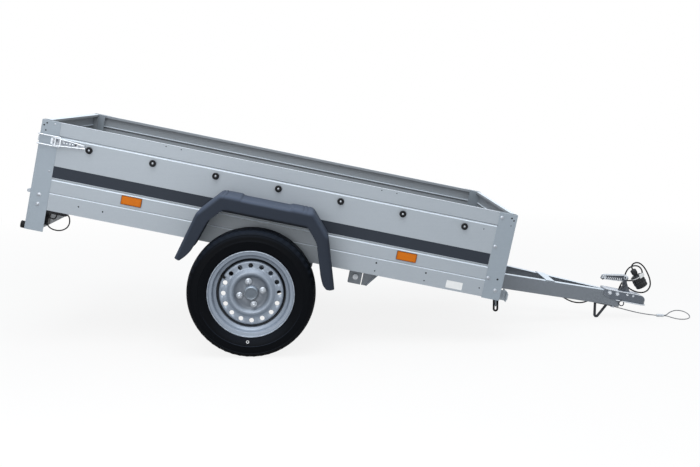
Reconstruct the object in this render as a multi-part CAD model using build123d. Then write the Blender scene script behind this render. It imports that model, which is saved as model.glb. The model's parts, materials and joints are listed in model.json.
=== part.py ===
from build123d import *
import math
import os

os.makedirs("parts", exist_ok=True)

# Single-axle tipping trailer, modelled level and then set down as it parks.
# Level frame, mm: X forward from the rear posts, Y left from the centreline,
# Z up from the lower edge of the side walls.

# ---------------------------------------------------------------- box
box_length = 2090.0
box_width = 1130.0
wall_height = 382.0
wall_sheet = 1.5
top_hem = 20.0
hem_return = 12.0
bottom_flange = 25.0
# pressed grooves of a wall sheet: height of the centre, width, depth inward
grooves = ((320.0, 10.0, 5.0), (135.0, 9.0, 5.0), (75.0, 6.0, 3.0))
post_sheet = 2.0
post_leg = 80.0
post_return = 58.0
post_depth = 50.0
post_top_rise = 1.0
rear_post_drop = 97.0
front_post_drop = 4.0
# punched holes: distance from the post's outer edge or from the rear, height, radius
wall_holes = ((212.0, 41.0, 3.5), (317.0, 40.0, 3.5), (1524.0, 55.0, 4.0), (1524.0, 19.0, 3.0),
              (1747.0, 54.0, 4.0), (1746.0, 19.0, 3.0), (1992.0, 35.0, 3.0), (1955.0, 295.0, 2.5),
              (534.0, 372.0, 2.5), (600.0, 372.0, 2.5), (1482.0, 372.0, 2.5), (1549.0, 372.0, 2.5))
rear_post_holes = ((11.0, 360.0, 3.5), (22.0, 370.0, 3.5), (21.0, 339.0, 3.5))
front_post_holes = ((27.0, 88.0, 4.5), (24.0, 365.0, 4.0), (13.0, 356.0, 3.5), (21.0, 332.0, 2.5))
floor_thickness = 9.0
floor_bottom = 74.5
floor_edge_gap = 1.0
seat_gap = 0.2
swing_gap = 6.0

# ---------------------------------------------------------------- chassis
sill_depth = 40.0
sill_height = 50.0
member_sheet = 3.0
member_width = 58.0
axle_member_x = 1156.0

# ---------------------------------------------------------------- axle and wheels
wheel_x = 1016.5
wheel_z = -151.5
tyre_radius = 273.5
tyre_width = 157.0
tyre_wall = 11.0
wheel_plane = 691.5
rim_flange_radius = 182.5
rim_seat_radius = 167.0
rim_well_radius = 149.0
rim_half_width = 68.0
rim_sheet = 3.0
disc_sheet = 4.0
weld_depth = 1.0
wheel_offset = 30.0
vent_count = 16
vent_circle = 118.0
vent_radius = 10.0
stud_circle = 50.0
stud_count = 4
vent_turn = 90.0
stud_turn = 12.0
hub_bore_radius = 15.0
bearing_gap = 0.1
axle_tube_size = 60.0
axle_tube_wall = 5.0
arm_ahead = 139.5
arm_rise = 70.5
arm_width = 32.0
arm_radius = 27.0

# ---------------------------------------------------------------- mudguards
guard_sheet = 4.0
guard_width = 212.0
guard_round = 20.0
# distance ahead of the wheel centre and height: outer outline, then the valance's lower edge
guard_outer = ((-341.0, -61.0), (-287.0, 144.0), (-203.0, 240.0), (190.0, 240.0), (273.0, 147.0),
               (340.0, -61.0))
guard_inner = ((309.0, -66.0), (294.0, -52.0), (277.0, -15.0), (230.0, 117.0), (176.0, 179.0),
               (-178.0, 179.0), (-234.0, 117.0), (-277.0, -15.0), (-300.0, -46.0), (-316.0, -64.0))

# ---------------------------------------------------------------- drawbar
pivot_x = 1456.0
pivot_z = -47.0
pivot_bolt_radius = 6.0
beam_height = 70.0
beam_bottom = -2.0
beam_flange = 38.0
beam_sheet = 3.0
beam_rear_x = 1530.0
beam_rear_half = 376.0
beam_bend_x = 2700.0
beam_front_half = 40.0
beam_front_x = 2790.0
crossbar_x = 1490.0
lug_plate = 6.0
lug_half = 407.0
lug_lip = 3.0
lug_lip_width = 12.0
hanger_sheet = 4.0
hanger_drop = 79.0
hanger_gap = 5.0
strap_x = 2385.0
strap_width = 45.0
strap_sheet = 4.0
foot_bar_radius = 6.5
foot_bend = 8.5
foot_plate = 3.0
tilt_limit = 26.0

# ---------------------------------------------------------------- coupling
coupling_rear_x = 2702.0
coupling_nose_x = 2922.0
coupling_top = 76.0
coupling_dome = 79.0
coupling_round = 6.0
coupling_rim = 4.5
coupling_lower = 29.0
coupling_sheet = 3.0
ball_radius = 25.2
ball_x = 2884.0
ball_z = 47.0

# ---------------------------------------------------------------- tailgate
gate_thickness = 25.0
hinge_x = -8.0
hinge_z = 70.0
hinge_pin_radius = 4.0
hinge_barrel_radius = 7.5
hinge_end = 46.0
hinge_leaf = 28.0
gate_limit = 180.0


# ================================================================ helpers
def block(x, y, z):
    """Box from its lowest and highest corner values."""
    size = Box(x[1] - x[0], y[1] - y[0], z[1] - z[0])
    return Pos((x[0] + x[1]) / 2, (y[0] + y[1]) / 2, (z[0] + z[1]) / 2) * size


def side_plate(points, y):
    """Outline in X and Z, as thick as the span y."""
    face = Face(Wire.make_polygon([Vector(a, y[0], b) for a, b in points], close=True))
    return extrude(face, y[1] - y[0], dir=(0, 1, 0))


def cross_plate(points, x):
    """Outline in Y and Z, as thick as the span x."""
    face = Face(Wire.make_polygon([Vector(x[0], a, b) for a, b in points], close=True))
    return extrude(face, x[1] - x[0], dir=(1, 0, 0))


def flat_plate(points, z):
    """Outline in X and Y, as thick as the span z."""
    face = Face(Wire.make_polygon([Vector(a, b, z[0]) for a, b in points], close=True))
    return extrude(face, z[1] - z[0], dir=(0, 0, 1))


def folded(points, sheet):
    """Closed outline of a sheet folded along points, with its thickness to the left."""
    inner = []
    for i, (a, b) in enumerate(points):
        normals = []
        for j, k in ((i - 1, i), (i, i + 1)):
            if j >= 0 and k < len(points):
                da, db = points[k][0] - points[j][0], points[k][1] - points[j][1]
                run = math.hypot(da, db)
                normals.append((-db / run, da / run))
        na = sum(n[0] for n in normals) / len(normals)
        nb = sum(n[1] for n in normals) / len(normals)
        reach = sheet / (na * na + nb * nb)
        inner.append((a + na * reach, b + nb * reach))
    return list(points) + inner[::-1]


def rod(start, end, radius):
    """Round bar between two points."""
    start, end = Vector(*start), Vector(*end)
    axis = end - start
    return Plane(origin=start, z_dir=axis) * Cylinder(
        radius, axis.length, align=(Align.CENTER, Align.CENTER, Align.MIN))


def bent_bar(points, radii, radius):
    """Round bar swept along straight runs joined by tangent arcs."""
    path = FilletPolyline(*points, radius=radii)
    start = Plane(origin=path @ 0, z_dir=path % 0)
    return sweep(start * Circle(radius), path=path)


def turned(points, centre):
    """Solid turned about the Y axis through centre, from points of (y, radius)."""
    face = Face(Wire.make_polygon([Vector(0, a, b) for a, b in points], close=True))
    return Pos(*centre) * revolve(face, axis=Axis.Y, revolution_arc=360)


def both_sides(shape):
    """The shape on the right side and its mirror image on the left."""
    return [shape, mirror(shape, about=Plane.XZ)]


# ================================================================ box
half_box = box_width / 2
wall_face = half_box - post_sheet
post_inner = half_box - post_depth


def wall_outline(bottom, flange, foot):
    """Outer face of a wall from its bottom flange to its top hem: inward distance, height."""
    points = [(flange, bottom), (0, bottom)]
    for height, width, depth in sorted(grooves):
        if height - width / 2 > bottom + foot:
            points += [(0, height - width / 2), (depth, height + width * 0.1),
                       (depth, height + width * 0.3), (0, height + width / 2)]
    return points + [(0, wall_height), (top_hem, wall_height), (top_hem, wall_height - hem_return)]


def punched(sheet, face, holes):
    """The sheet with round holes through its outer face in the plane y = face."""
    for x, z, radius in holes:
        sheet -= rod((x, face - 1, z), (x, face + 4, z), radius)
    return sheet


def side_walls():
    outline = [(-wall_face + d, z) for d, z in wall_outline(0, bottom_flange, 20)]
    wall = cross_plate(folded(outline[::-1], wall_sheet), (post_sheet, box_length - post_sheet))
    return both_sides(punched(wall, -wall_face, wall_holes))


def front_wall():
    face = box_length - post_sheet
    outline = [(face - d, z) for d, z in wall_outline(floor_bottom - wall_sheet, 2 * top_hem, 20)]
    return [side_plate(folded(outline, wall_sheet), (-post_inner, post_inner))]


def post(drop):
    """Folded corner post, open towards the box, standing at the rear right corner."""
    outline = [(post_leg, -half_box), (0, -half_box), (0, -post_inner), (post_return, -post_inner)]
    return flat_plate(folded(outline[::-1], post_sheet), (-drop, wall_height + post_top_rise))


def rear_posts():
    return both_sides(punched(post(rear_post_drop), -half_box, rear_post_holes))


def front_posts():
    near = punched(post(front_post_drop), -half_box, front_post_holes)
    return both_sides(Pos(box_length, 0, 0) * mirror(near, about=Plane.YZ))


def floor_panel():
    half = wall_face - wall_sheet - grooves[2][2] - floor_edge_gap
    level = (floor_bottom, floor_bottom + floor_thickness)
    panel = block((post_sheet, box_length - post_sheet - wall_sheet - seat_gap), (-half, half), level)
    notch = post_return + floor_edge_gap
    for x in ((0, notch), (box_length - notch, box_length)):
        for y in ((-half_box, -post_inner + floor_edge_gap), (post_inner - floor_edge_gap, half_box)):
            panel -= block(x, y, level)
    return [panel]


# ================================================================ chassis
def channel(width, height, sheet, x, z, y):
    """Top-hat cross member open at the bottom, running across the trailer."""
    outline = [(x, z), (x, z + height), (x + width, z + height), (x + width, z)]
    return side_plate(folded(outline, -sheet), y)


def cross_members():
    reach = wall_face - wall_sheet - grooves[2][2] - seat_gap
    under = floor_bottom - sill_height
    sill = channel(sill_depth, sill_height, member_sheet, post_sheet, under, (-post_inner, post_inner))
    members = [sill]
    for centre in (560.0, axle_member_x, pivot_x):
        members.append(channel(member_width, sill_height, member_sheet,
                               centre - member_width / 2, under, (-reach, reach)))
    return members


tube_x = wheel_x + arm_ahead
tube_z = wheel_z + arm_rise
tube_half = half_box - 17.0
arm_inner = tube_half + 4.0
arm_outer = arm_inner + arm_width


def axle_tube():
    half = axle_tube_size / 2
    tube = block((tube_x - half, tube_x + half), (-tube_half, tube_half), (tube_z - half, tube_z + half))
    bore = half - axle_tube_wall
    tube -= block((tube_x - bore, tube_x + bore), (-tube_half, tube_half), (tube_z - bore, tube_z + bore))
    return [tube]


def axle_brackets():
    """Seats that hang the axle tube under the side walls' lower flanges."""
    top, low = 0.0, tube_z + axle_tube_size / 2
    outline = [(tube_x - 95, top), (tube_x - 95, top - 18), (tube_x - 38, low), (tube_x + 38, low),
               (tube_x + 95, top - 18), (tube_x + 95, top)]
    y_far, y_near = -wall_face + 2.0, -wall_face + 45.0
    seat = side_plate(outline, (y_far, y_near))
    inner = [(tube_x - 91, top - 4), (tube_x - 91, top - 17), (tube_x - 36, low + 4),
             (tube_x + 36, low + 4), (tube_x + 91, top - 17), (tube_x + 91, top - 4)]
    seat -= side_plate(inner, (y_far, y_near - 4.0))
    return both_sides(seat)


def swing_arms():
    """Trailing arms with the torsion bar's end and the stub axle that carries the hub."""
    arm = rod((wheel_x, -arm_outer, wheel_z), (wheel_x, -arm_inner, wheel_z), arm_radius)
    arm += rod((tube_x, -arm_outer, tube_z), (tube_x, -arm_inner, tube_z), arm_radius)
    length = math.hypot(arm_ahead, arm_rise)
    across = (-arm_rise / length * arm_radius * 0.8, arm_ahead / length * arm_radius * 0.8)
    web = [(wheel_x + across[0], wheel_z + across[1]), (tube_x + across[0], tube_z + across[1]),
           (tube_x - across[0], tube_z - across[1]), (wheel_x - across[0], wheel_z - across[1])]
    arm += side_plate(web, (-arm_outer, -arm_inner))
    arm += rod((wheel_x, -arm_inner, wheel_z), (wheel_x, -stub_end, wheel_z), hub_bore_radius)
    spring_half = axle_tube_size / 2 - axle_tube_wall - seat_gap
    arm += block((tube_x - spring_half, tube_x + spring_half), (-arm_inner, -tube_half + 120.0),
                 (tube_z - spring_half, tube_z + spring_half))
    return both_sides(arm)


# ================================================================ wheels
disc_face = wheel_plane + wheel_offset
hub_inner = arm_outer + 6.0
stub_end = disc_face - 12.0


def tyre(side):
    half = tyre_width / 2
    tread_half = half - 15.0
    # half section, from the bead up the sidewall to the tread's edge and crown
    outer = [(57.0, rim_seat_radius + seat_gap), (57.5 + seat_gap, rim_flange_radius - 1), (70.0, 200.0),
             (half, 226.0), (half - 1.5, 243.0), (half - 7.0, 259.0), (tread_half, 269.0),
             (tread_half - 22.0, tyre_radius - 0.8), (0, tyre_radius)]
    inner = [(0, tyre_radius - tyre_wall), (tread_half - 8.0, 269.0 - tyre_wall),
             (half - tyre_wall + 2, 238.0), (half - tyre_wall + 4, 222.0), (60.0, 200.0),
             (46.0, 183.0), (44.0, rim_seat_radius + seat_gap)]
    section = outer + [(-a, b) for a, b in outer[::-1][1:]]
    hollow = [(-a, b) for a, b in inner[::-1]] + inner[1:]
    return [turned(section + hollow, (wheel_x, side * wheel_plane, wheel_z))]


def rim(side):
    barrel = [(rim_half_width, rim_flange_radius), (60.0, rim_flange_radius), (57.0, rim_seat_radius),
              (36.0, rim_seat_radius - 2), (29.0, rim_well_radius), (-6.0, rim_well_radius),
              (-22.0, rim_seat_radius - 2), (-57.0, rim_seat_radius), (-60.0, rim_flange_radius),
              (-rim_half_width, rim_flange_radius)]
    ring = turned(folded(barrel, rim_sheet), (0, 0, 0))
    seat = rim_well_radius - rim_sheet - disc_sheet + weld_depth
    disc = [(2.0, seat), (20.0, seat), (31.0, 138.0), (34.0, 130.0), (34.0, 105.0), (41.0, 92.0),
            (43.0, 86.0), (41.0, 79.0), (31.0, 68.0), (wheel_offset, 62.0), (wheel_offset, 31.0)]
    face = turned(folded(disc, disc_sheet), (0, 0, 0))
    for i in range(vent_count):
        turn = math.radians(parked_tilt + vent_turn + i * 360 / vent_count)
        x, z = vent_circle * math.cos(turn), vent_circle * math.sin(turn)
        face -= rod((x, 20, z), (x, 60, z), vent_radius)
    for i in range(stud_count):
        turn = math.radians(parked_tilt + stud_turn + i * 360 / stud_count)
        x, z = stud_circle * math.cos(turn), stud_circle * math.sin(turn)
        face -= rod((x, 20, z), (x, 60, z), 6.5)
    wheel = ring + face
    if side < 0:
        wheel = mirror(wheel, about=Plane.XZ)
    return [Pos(wheel_x, side * wheel_plane, wheel_z) * wheel]


def hub(side):
    """Hub on its stub axle, with the wheel bolts and the grease cap."""
    bore = hub_bore_radius + bearing_gap
    face = disc_face - wheel_plane
    inner = hub_inner - wheel_plane
    shell = [(inner, bore), (inner, 33.0), (face - 22, 33.0), (face - 10, 62.0), (face, 62.0), (face, 29.0),
             (face + 8, 28.5), (face + 18, 24.0), (face + 21, 16.0), (face + 21, 0), (face - 8, 0),
             (face - 8, bore)]
    body = turned(shell, (0, 0, 0))
    for i in range(stud_count):
        turn = math.radians(parked_tilt + stud_turn + i * 360 / stud_count)
        x, z = stud_circle * math.cos(turn), stud_circle * math.sin(turn)
        body += rod((x, face - 2, z), (x, face + disc_sheet + seat_gap, z), 6.0)
        seat = Plane(origin=(x, face + disc_sheet + seat_gap, z), z_dir=(0, 1, 0))
        body += extrude(seat * RegularPolygon(9.8, 6), 13.0)
    if side < 0:
        body = mirror(body, about=Plane.XZ)
    return [Pos(wheel_x, side * wheel_plane, wheel_z) * body]


# ================================================================ mudguards
def mudguards():
    crown = [(wheel_x + a, z) for a, z in guard_outer]
    lower = [(wheel_x + a, z) for a, z in guard_inner]
    outer_y = -half_box - guard_width
    inner_y = -wall_face - seat_gap

    def rounded(points, radius, span):
        """Extruded outline with its upper edges rounded on the outer side."""
        plate = side_plate(points, span)
        upper = [e for e in plate.faces().sort_by(Axis.Y)[0].edges()
                 if any(abs(e.center().X - (a[0] + b[0]) / 2) < 1 and abs(e.center().Z - (a[1] + b[1]) / 2) < 1
                        for a, b in zip(points[:6], points[1:6]))]
        return fillet(upper, radius)
    arch = rounded(crown + lower, guard_round, (outer_y, inner_y))
    # the trough under the shell, open towards the wheel
    skin = folded(crown, -guard_sheet)[len(crown):][::-1]
    below = [(wheel_x + 300.0, -80.0), (wheel_x + 150.0, 60.0), (wheel_x - 150.0, 60.0),
             (wheel_x - 300.0, -80.0)]
    skin = [(skin[0][0] - 5.0, -80.0)] + skin[1:-1] + [(skin[-1][0] + 6.0, -80.0)]
    trough = rounded(skin + below, guard_round - guard_sheet, (outer_y + guard_sheet, inner_y - guard_sheet))
    return both_sides(arch - trough)


# ================================================================ drawbar
def beam_line(x):
    """Outer half-spacing of the beams at x."""
    slope = (beam_rear_half - beam_front_half) / (beam_bend_x - beam_rear_x)
    return beam_rear_half - slope * (min(x, beam_bend_x) - beam_rear_x)


def beams():
    stations = (beam_rear_x, beam_bend_x, beam_front_x)
    outer = [(x, -beam_line(x)) for x in stations]
    top = beam_bottom + beam_height

    def strip(depth, z):
        inner = [(x, y + depth) for x, y in outer]
        return flat_plate(outer + inner[::-1], z)
    beam = strip(beam_sheet, (beam_bottom, top))
    beam += strip(beam_flange, (beam_bottom, beam_bottom + beam_sheet))
    beam += strip(beam_flange, (top - beam_sheet, top))
    return both_sides(beam)


def crossbar():
    """Rear bar of the drawbar with the end plates that hang on the pivot bolts."""
    top = beam_bottom + beam_height
    inner = lug_half - lug_plate
    bar = channel(beam_rear_x - crossbar_x, beam_height, beam_sheet, crossbar_x, beam_bottom, (-inner, inner))
    eye = 18.0
    neck = 10.0
    lug = [(pivot_x - eye, pivot_z), (pivot_x - eye, neck), (crossbar_x, neck), (crossbar_x, top),
           (beam_rear_x, top), (crossbar_x + 68, beam_bottom), (crossbar_x + 68, -20.0),
           (crossbar_x + 22, -80.0), (crossbar_x, -80.0), (crossbar_x, -19.0), (pivot_x + eye, -19.0),
           (pivot_x + eye, pivot_z)]
    plate = side_plate(lug, (-lug_half, -inner))
    lip = folded([(crossbar_x + 68, -20.0), (crossbar_x + 22, -80.0)], -lug_lip)
    plate += side_plate(lip, (-lug_half - lug_lip_width, -inner))
    plate += rod((pivot_x, -lug_half, pivot_z), (pivot_x, -inner, pivot_z), eye)
    plate -= rod((pivot_x, -lug_half - 1, pivot_z), (pivot_x, -inner + 1, pivot_z),
                 pivot_bolt_radius + bearing_gap)
    whole = bar
    for side in both_sides(plate):
        whole += side
    return [whole]


def pivot_hangers():
    """U brackets on the pivot cross member, one each side of a lug plate."""
    top = floor_bottom - sill_height
    x = (pivot_x - member_width / 2, pivot_x + member_width / 2)
    inner = -lug_half + lug_plate + hanger_gap
    outer = -lug_half - hanger_gap
    bracket = block(x, (outer - hanger_sheet, inner + hanger_sheet), (-hanger_drop, top))
    bracket -= block(x, (outer, inner), (-hanger_drop, top - hanger_sheet))
    bracket -= rod((pivot_x, outer - 10, pivot_z), (pivot_x, inner + 10, pivot_z), pivot_bolt_radius)
    return both_sides(bracket)


def pivot_bolts():
    inner = -lug_half + lug_plate + hanger_gap + hanger_sheet
    outer = -lug_half - hanger_gap - hanger_sheet
    head = 6.5
    bolt = rod((pivot_x, outer, pivot_z), (pivot_x, inner, pivot_z), pivot_bolt_radius)
    bolt += rod((pivot_x, outer - head, pivot_z), (pivot_x, outer, pivot_z), 12.5)
    nut = Plane(origin=(pivot_x, inner, pivot_z), z_dir=(0, 1, 0))
    bolt += extrude(nut * RegularPolygon(11.0, 6), 10.0)
    return both_sides(bolt)


def strap():
    top = beam_bottom + beam_height
    outline = [(x, -beam_line(x)) for x in (strap_x, strap_x + strap_width)]
    outline += [(x, -y) for x, y in outline[::-1]]
    return [flat_plate(outline, (top, top + strap_sheet))]


# ends of the foot's legs and its lowest corner, along the bar's centre line
foot_points = ((2681.0, beam_bottom - foot_plate), (2698.0, -92.0), (2741.0, beam_bottom - foot_plate))


def foot_bottom():
    """Centre of the foot's bend, found from the two legs."""
    a, b, c = (Vector(x, 0, z) for x, z in foot_points)
    to_a, to_c = (a - b).normalized(), (c - b).normalized()
    half = to_a.get_angle(to_c) / 2
    middle = (to_a + to_c).normalized()
    return b + middle * (foot_bend / math.sin(math.radians(half)))


def foot():
    bar = bent_bar([(x, 0, z) for x, z in foot_points], foot_bend, foot_bar_radius)
    plate = block((foot_points[0][0] - 16, foot_points[2][0] + 14), (-beam_front_half, beam_front_half),
                  (beam_bottom - foot_plate, beam_bottom))
    return [bar + plate]


# ================================================================ coupling
def coupling_plan(margin, start):
    """Outline of the head in X and Y: straight over the beams, round about the ball."""
    half = beam_front_half + seat_gap + coupling_sheet + margin
    nose = coupling_nose_x - ball_x + margin
    side = [(start, -half), (2800.0, -half)]
    turns = [math.radians(-90 + 180 * i / 14) for i in range(15)]
    tip = [(ball_x + nose * math.cos(t), nose * math.sin(t)) for t in turns]
    return side + tip + [(x, -y) for x, y in side[::-1]]


def coupling():
    """Pressed head: a channel over the beam ends that narrows to the ball housing."""
    half = beam_front_half + seat_gap + coupling_sheet
    nose = coupling_nose_x - ball_x
    shoulder = coupling_dome - coupling_round
    levels = ((0.0, shoulder), (-coupling_round * 0.3, coupling_dome - coupling_round * 0.3),
              (-coupling_round, coupling_dome))
    head = flat_plate(coupling_plan(0, coupling_rear_x), (coupling_lower, shoulder))
    head += loft([Face(Wire.make_polygon([Vector(x, y, z) for x, y in coupling_plan(m, coupling_rear_x)],
                                         close=True)) for m, z in levels], ruled=True)
    profile = [(coupling_rear_x, 44.0), (coupling_rear_x, coupling_top), (2800.0, coupling_top),
               (2838.0, coupling_dome), (2878.0, coupling_dome), (2902.0, 71.0), (2916.0, 58.0),
               (coupling_nose_x, 40.0), (coupling_nose_x, coupling_lower), (2762.0, coupling_lower),
               (2736.0, 31.0), (2716.0, 38.0)]
    head = head & side_plate(profile, (-half, half))
    inner = half - coupling_sheet
    head -= flat_plate([(coupling_rear_x, -inner), (2800.0, -inner), (2838.0, -nose + 8), (2838.0, nose - 8),
                        (2800.0, inner), (coupling_rear_x, inner)],
                       (coupling_lower, beam_bottom + beam_height + seat_gap))
    rim = (coupling_lower, coupling_lower + coupling_sheet)
    head += flat_plate(coupling_plan(coupling_rim, 2764.0), rim) - flat_plate(
        coupling_plan(-coupling_sheet, 2750.0), rim)
    head -= Pos(ball_x, 0, ball_z) * Sphere(ball_radius)
    head -= rod((ball_x, 0, coupling_lower - 1), (ball_x, 0, ball_z), ball_radius)
    return [head]


def coupling_handle():
    """Channel lever open at the bottom, pinned to the neck that rises from the head."""
    handle = side_plate([(2683.0, 116.0), (2686.0, 134.0), (2692.0, 138.0), (2797.0, 157.0), (2808.0, 154.0),
                         (2814.0, 144.0), (2808.0, 132.0), (2790.0, 124.0), (2734.0, 119.0)], (-14, 14))
    handle -= side_plate([(2690.0, 110.0), (2690.0, 131.0), (2694.0, 134.0), (2797.0, 153.0), (2803.0, 149.0),
                          (2803.0, 110.0)], (-11, 11))
    handle += rod((2687.5, -15, 118.5), (2687.5, 15, 118.5), 5.2)
    neck = side_plate([(2790.0, coupling_top), (2800.0, coupling_top), (2838.0, coupling_dome),
                       (2824.0, 100.0), (2812.0, 122.0), (2804.0, 150.0), (2788.0, 147.0), (2790.0, 122.0),
                       (2798.0, 100.0)], (-9, 9))
    pin = rod((2795.5, -16, 143.5), (2795.5, 16, 143.5), 6.4)
    return [handle + neck + pin]


def coupling_bolts():
    half = beam_front_half + seat_gap + coupling_sheet
    bolts = []
    for x, z in ((2729.0, 60.0), (2767.0, 61.0)):
        bolt = rod((x, -half - 8, z), (x, -half, z), 9.5)
        bolts += both_sides(bolt)
    return bolts


# ================================================================ tailgate
gate_half = post_inner - swing_gap
gate_bottom = floor_bottom + floor_thickness + 3.0


def tailgate_panel():
    face = 0.0
    outline = [(face + d, z) for d, z in wall_outline(gate_bottom, gate_thickness, 20)]
    outline = outline[:-2] + [(face + gate_thickness, wall_height),
                              (face + gate_thickness, wall_height - hem_return)]
    panel = side_plate(folded(outline[::-1], wall_sheet), (-gate_half, gate_half))
    ends = block((face, face + gate_thickness), (-gate_half, -gate_half + wall_sheet), (gate_bottom, wall_height))
    for end in both_sides(ends):
        panel += end
    return [panel]


def gate_hinges():
    """Leaves on the gate with the middle barrel of each hinge."""
    parts = []
    end = gate_half - 1.0
    for low, high in ((-end, hinge_leaf - end), (-14.5, 14.5), (end - hinge_leaf, end)):
        leaf = block((-2.0, 0), (low, high), (hinge_z, hinge_z + 62))
        barrel = rod((hinge_x, low, hinge_z), (hinge_x, high, hinge_z), hinge_barrel_radius)
        barrel += block((hinge_x, 0), (low, high), (hinge_z, hinge_z + hinge_barrel_radius))
        hinge = leaf + barrel
        hinge -= rod((hinge_x, low - 5, hinge_z), (hinge_x, high + 5, hinge_z), hinge_pin_radius + bearing_gap)
        parts.append(hinge)
    return parts


def sill_hinges():
    """Fixed halves of the hinges with their pins: a leaf on the sill and a barrel on each post."""
    hinge = block((0, post_sheet), (-30, 30), (floor_bottom - sill_height + 4, hinge_z))
    for low, high in ((-30, -15), (15, 30)):
        hinge += rod((hinge_x, low, hinge_z), (hinge_x, high, hinge_z), hinge_barrel_radius)
        hinge += block((hinge_x, post_sheet), (low, high), (hinge_z - hinge_barrel_radius, hinge_z))
    hinge += rod((hinge_x, -30, hinge_z), (hinge_x, 30, hinge_z), hinge_pin_radius)
    far, near = -half_box + 7.0, -half_box + 7.0 + hinge_end
    barrel = rod((hinge_x, far, hinge_z), (hinge_x, near, hinge_z), hinge_barrel_radius)
    barrel += block((hinge_x, 0), (far, near), (hinge_z - hinge_barrel_radius, hinge_z))
    barrel += rod((hinge_x, far, hinge_z), (hinge_x, -gate_half + hinge_leaf, hinge_z), hinge_pin_radius)
    barrel += rod((hinge_x, far - 3, hinge_z), (hinge_x, far, hinge_z), -hinge_x - seat_gap)
    return [hinge] + both_sides(barrel)


gate_face = 0.0


def gate_hooks():
    """Catches at the gate's upper corners, inside the wire bails of the toggle latches."""
    z = (latch_low + 9.0, latch_high - 9.0)
    reach = bail_y + bail_radius + 2.0
    root = gate_half - 14.0
    hook = block((hook_x, gate_face), (-gate_half, -root), z)
    hook += block((hook_x, hook_x + 2.5), (-reach - 2.5, -root), z)
    hook += block((hook_x, hook_x + 10.0), (-reach - 2.5, -reach), z)
    return both_sides(hook)


# ================================================================ toggle latches
latch_low = 279.0
latch_high = 320.0
bail_radius = 3.0
bail_x = -5.0
bail_y = 526.0
bail_front_x = 92.0
bail_outer_y = half_box + 9.0
hook_x = -13.0


def latch_levers():
    """Base on the post with the toggle lever folded forward along the wall."""
    lever_in, lever_out = half_box + 2.5, half_box + 16.0
    low, high = latch_low + bail_radius + seat_gap, latch_high - bail_radius - seat_gap
    lever = side_plate([(58.0, low + 4), (64.0, low), (92.0, low), (104.0, low + 6), (198.0, 293.0),
                        (200.0, 299.0), (190.0, 304.0), (106.0, high - 4), (92.0, high),
                        (64.0, high), (58.0, high - 4)], (-lever_out, -lever_in))
    lever -= side_plate([(96.0, low + 10), (180.0, 295.0), (180.0, 300.0), (96.0, high - 10)],
                        (-lever_out, -lever_out + 8.0))
    base = block((52.0, 76.0), (-lever_in, -half_box), (low + 3, high - 3))
    return both_sides(lever + base)


def latch_bails():
    """Wire loops from the levers round the posts' rear edges to the gate's hooks."""
    points = [(bail_front_x, -bail_outer_y, latch_high), (bail_x, -bail_outer_y, latch_high),
              (bail_x, -bail_y, latch_high), (bail_x, -bail_y, latch_low),
              (bail_x, -bail_outer_y, latch_low), (bail_front_x, -bail_outer_y, latch_low)]
    return both_sides(bent_bar(points, [7.0] * 4, bail_radius))


# ================================================================ lamps, reflectors, markers
lamp_bar_x = 58.0
lamp_bar_depth = 28.0
lamp_bar_top = -14.0
lamp_bar_bottom = -95.0


def lamp_bar():
    outline = [(lamp_bar_x - lamp_bar_depth, lamp_bar_top), (lamp_bar_x, lamp_bar_top),
               (lamp_bar_x, lamp_bar_bottom), (lamp_bar_x - lamp_bar_depth, lamp_bar_bottom)]
    return [side_plate(folded(outline, -post_sheet), (-post_inner, post_inner))]


def rear_lamps():
    inside = lamp_bar_x - post_sheet
    lamp = block((inside - 42.0, inside), (-490.0, -280.0),
                 (lamp_bar_bottom + post_sheet + 1.0, lamp_bar_top - post_sheet - 1.0))
    lamp = fillet(lamp.edges().filter_by(Axis.X), 10.0)
    return both_sides(lamp)


def lamp_backs():
    """Cable entries on the front of the lamp bar."""
    back = block((lamp_bar_x, lamp_bar_x + 26.0), (-512.0, -470.0), (-74.0, -15.0))
    back = fillet(back.edges().filter_by(Axis.X), 6.0)
    return both_sides(back)


def cable_ducts():
    """Ducts under the side walls' lower flanges."""
    duct = block((post_leg - 18.0, 166.0), (-wall_face + 5.0, -wall_face + 24.0), (-13.0, -seat_gap))
    return both_sides(duct)


lamp_cable_radius = 2.8
lamp_loop = ((166.2, -548.5, -6.6), (174.0, -548.5, -6.6), (182.0, -548.0, -22.0), (184.0, -547.0, -41.0),
             (178.0, -546.0, -59.0), (165.0, -545.0, -72.0), (148.0, -545.0, -80.0), (131.0, -545.0, -82.0),
             (113.0, -545.0, -80.0), (99.0, -546.0, -73.0), (88.0, -547.0, -60.0), (86.0, -548.0, -42.0),
             (96.0, -548.5, -26.0), (96.0, -548.5, -13.2))
lamp_link = ((124.0, -548.5, -13.2), (124.0, -548.5, -25.0), (112.0, -530.0, -38.0), (100.0, -504.0, -40.0),
             (84.2, -504.0, -40.0))


def lamp_cables():
    return both_sides(cord_tube(lamp_loop, lamp_cable_radius)) + both_sides(
        cord_tube(lamp_link, lamp_cable_radius))


def licence_plate():
    face = lamp_bar_x - lamp_bar_depth
    plate = block((face - 1.5, face), (-260.0, 260.0), (lamp_bar_bottom, lamp_bar_bottom + 114.0))
    return [fillet(plate.edges().filter_by(Axis.X), 8.0)]


def side_reflectors():
    parts = []
    for x, z in ((430.5, 109.5), (1648.0, 108.0)):
        lens = block((x - 45.0, x + 45.0), (-wall_face - 7.0, -wall_face), (z - 20.0, z + 20.0))
        parts += both_sides(fillet(lens.edges().filter_by(Axis.Y), 4.0))
    return parts


marker_x = box_length + 30.0
marker_y = (455.0, 560.0)
marker_z = (-5.0, 40.0)


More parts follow.
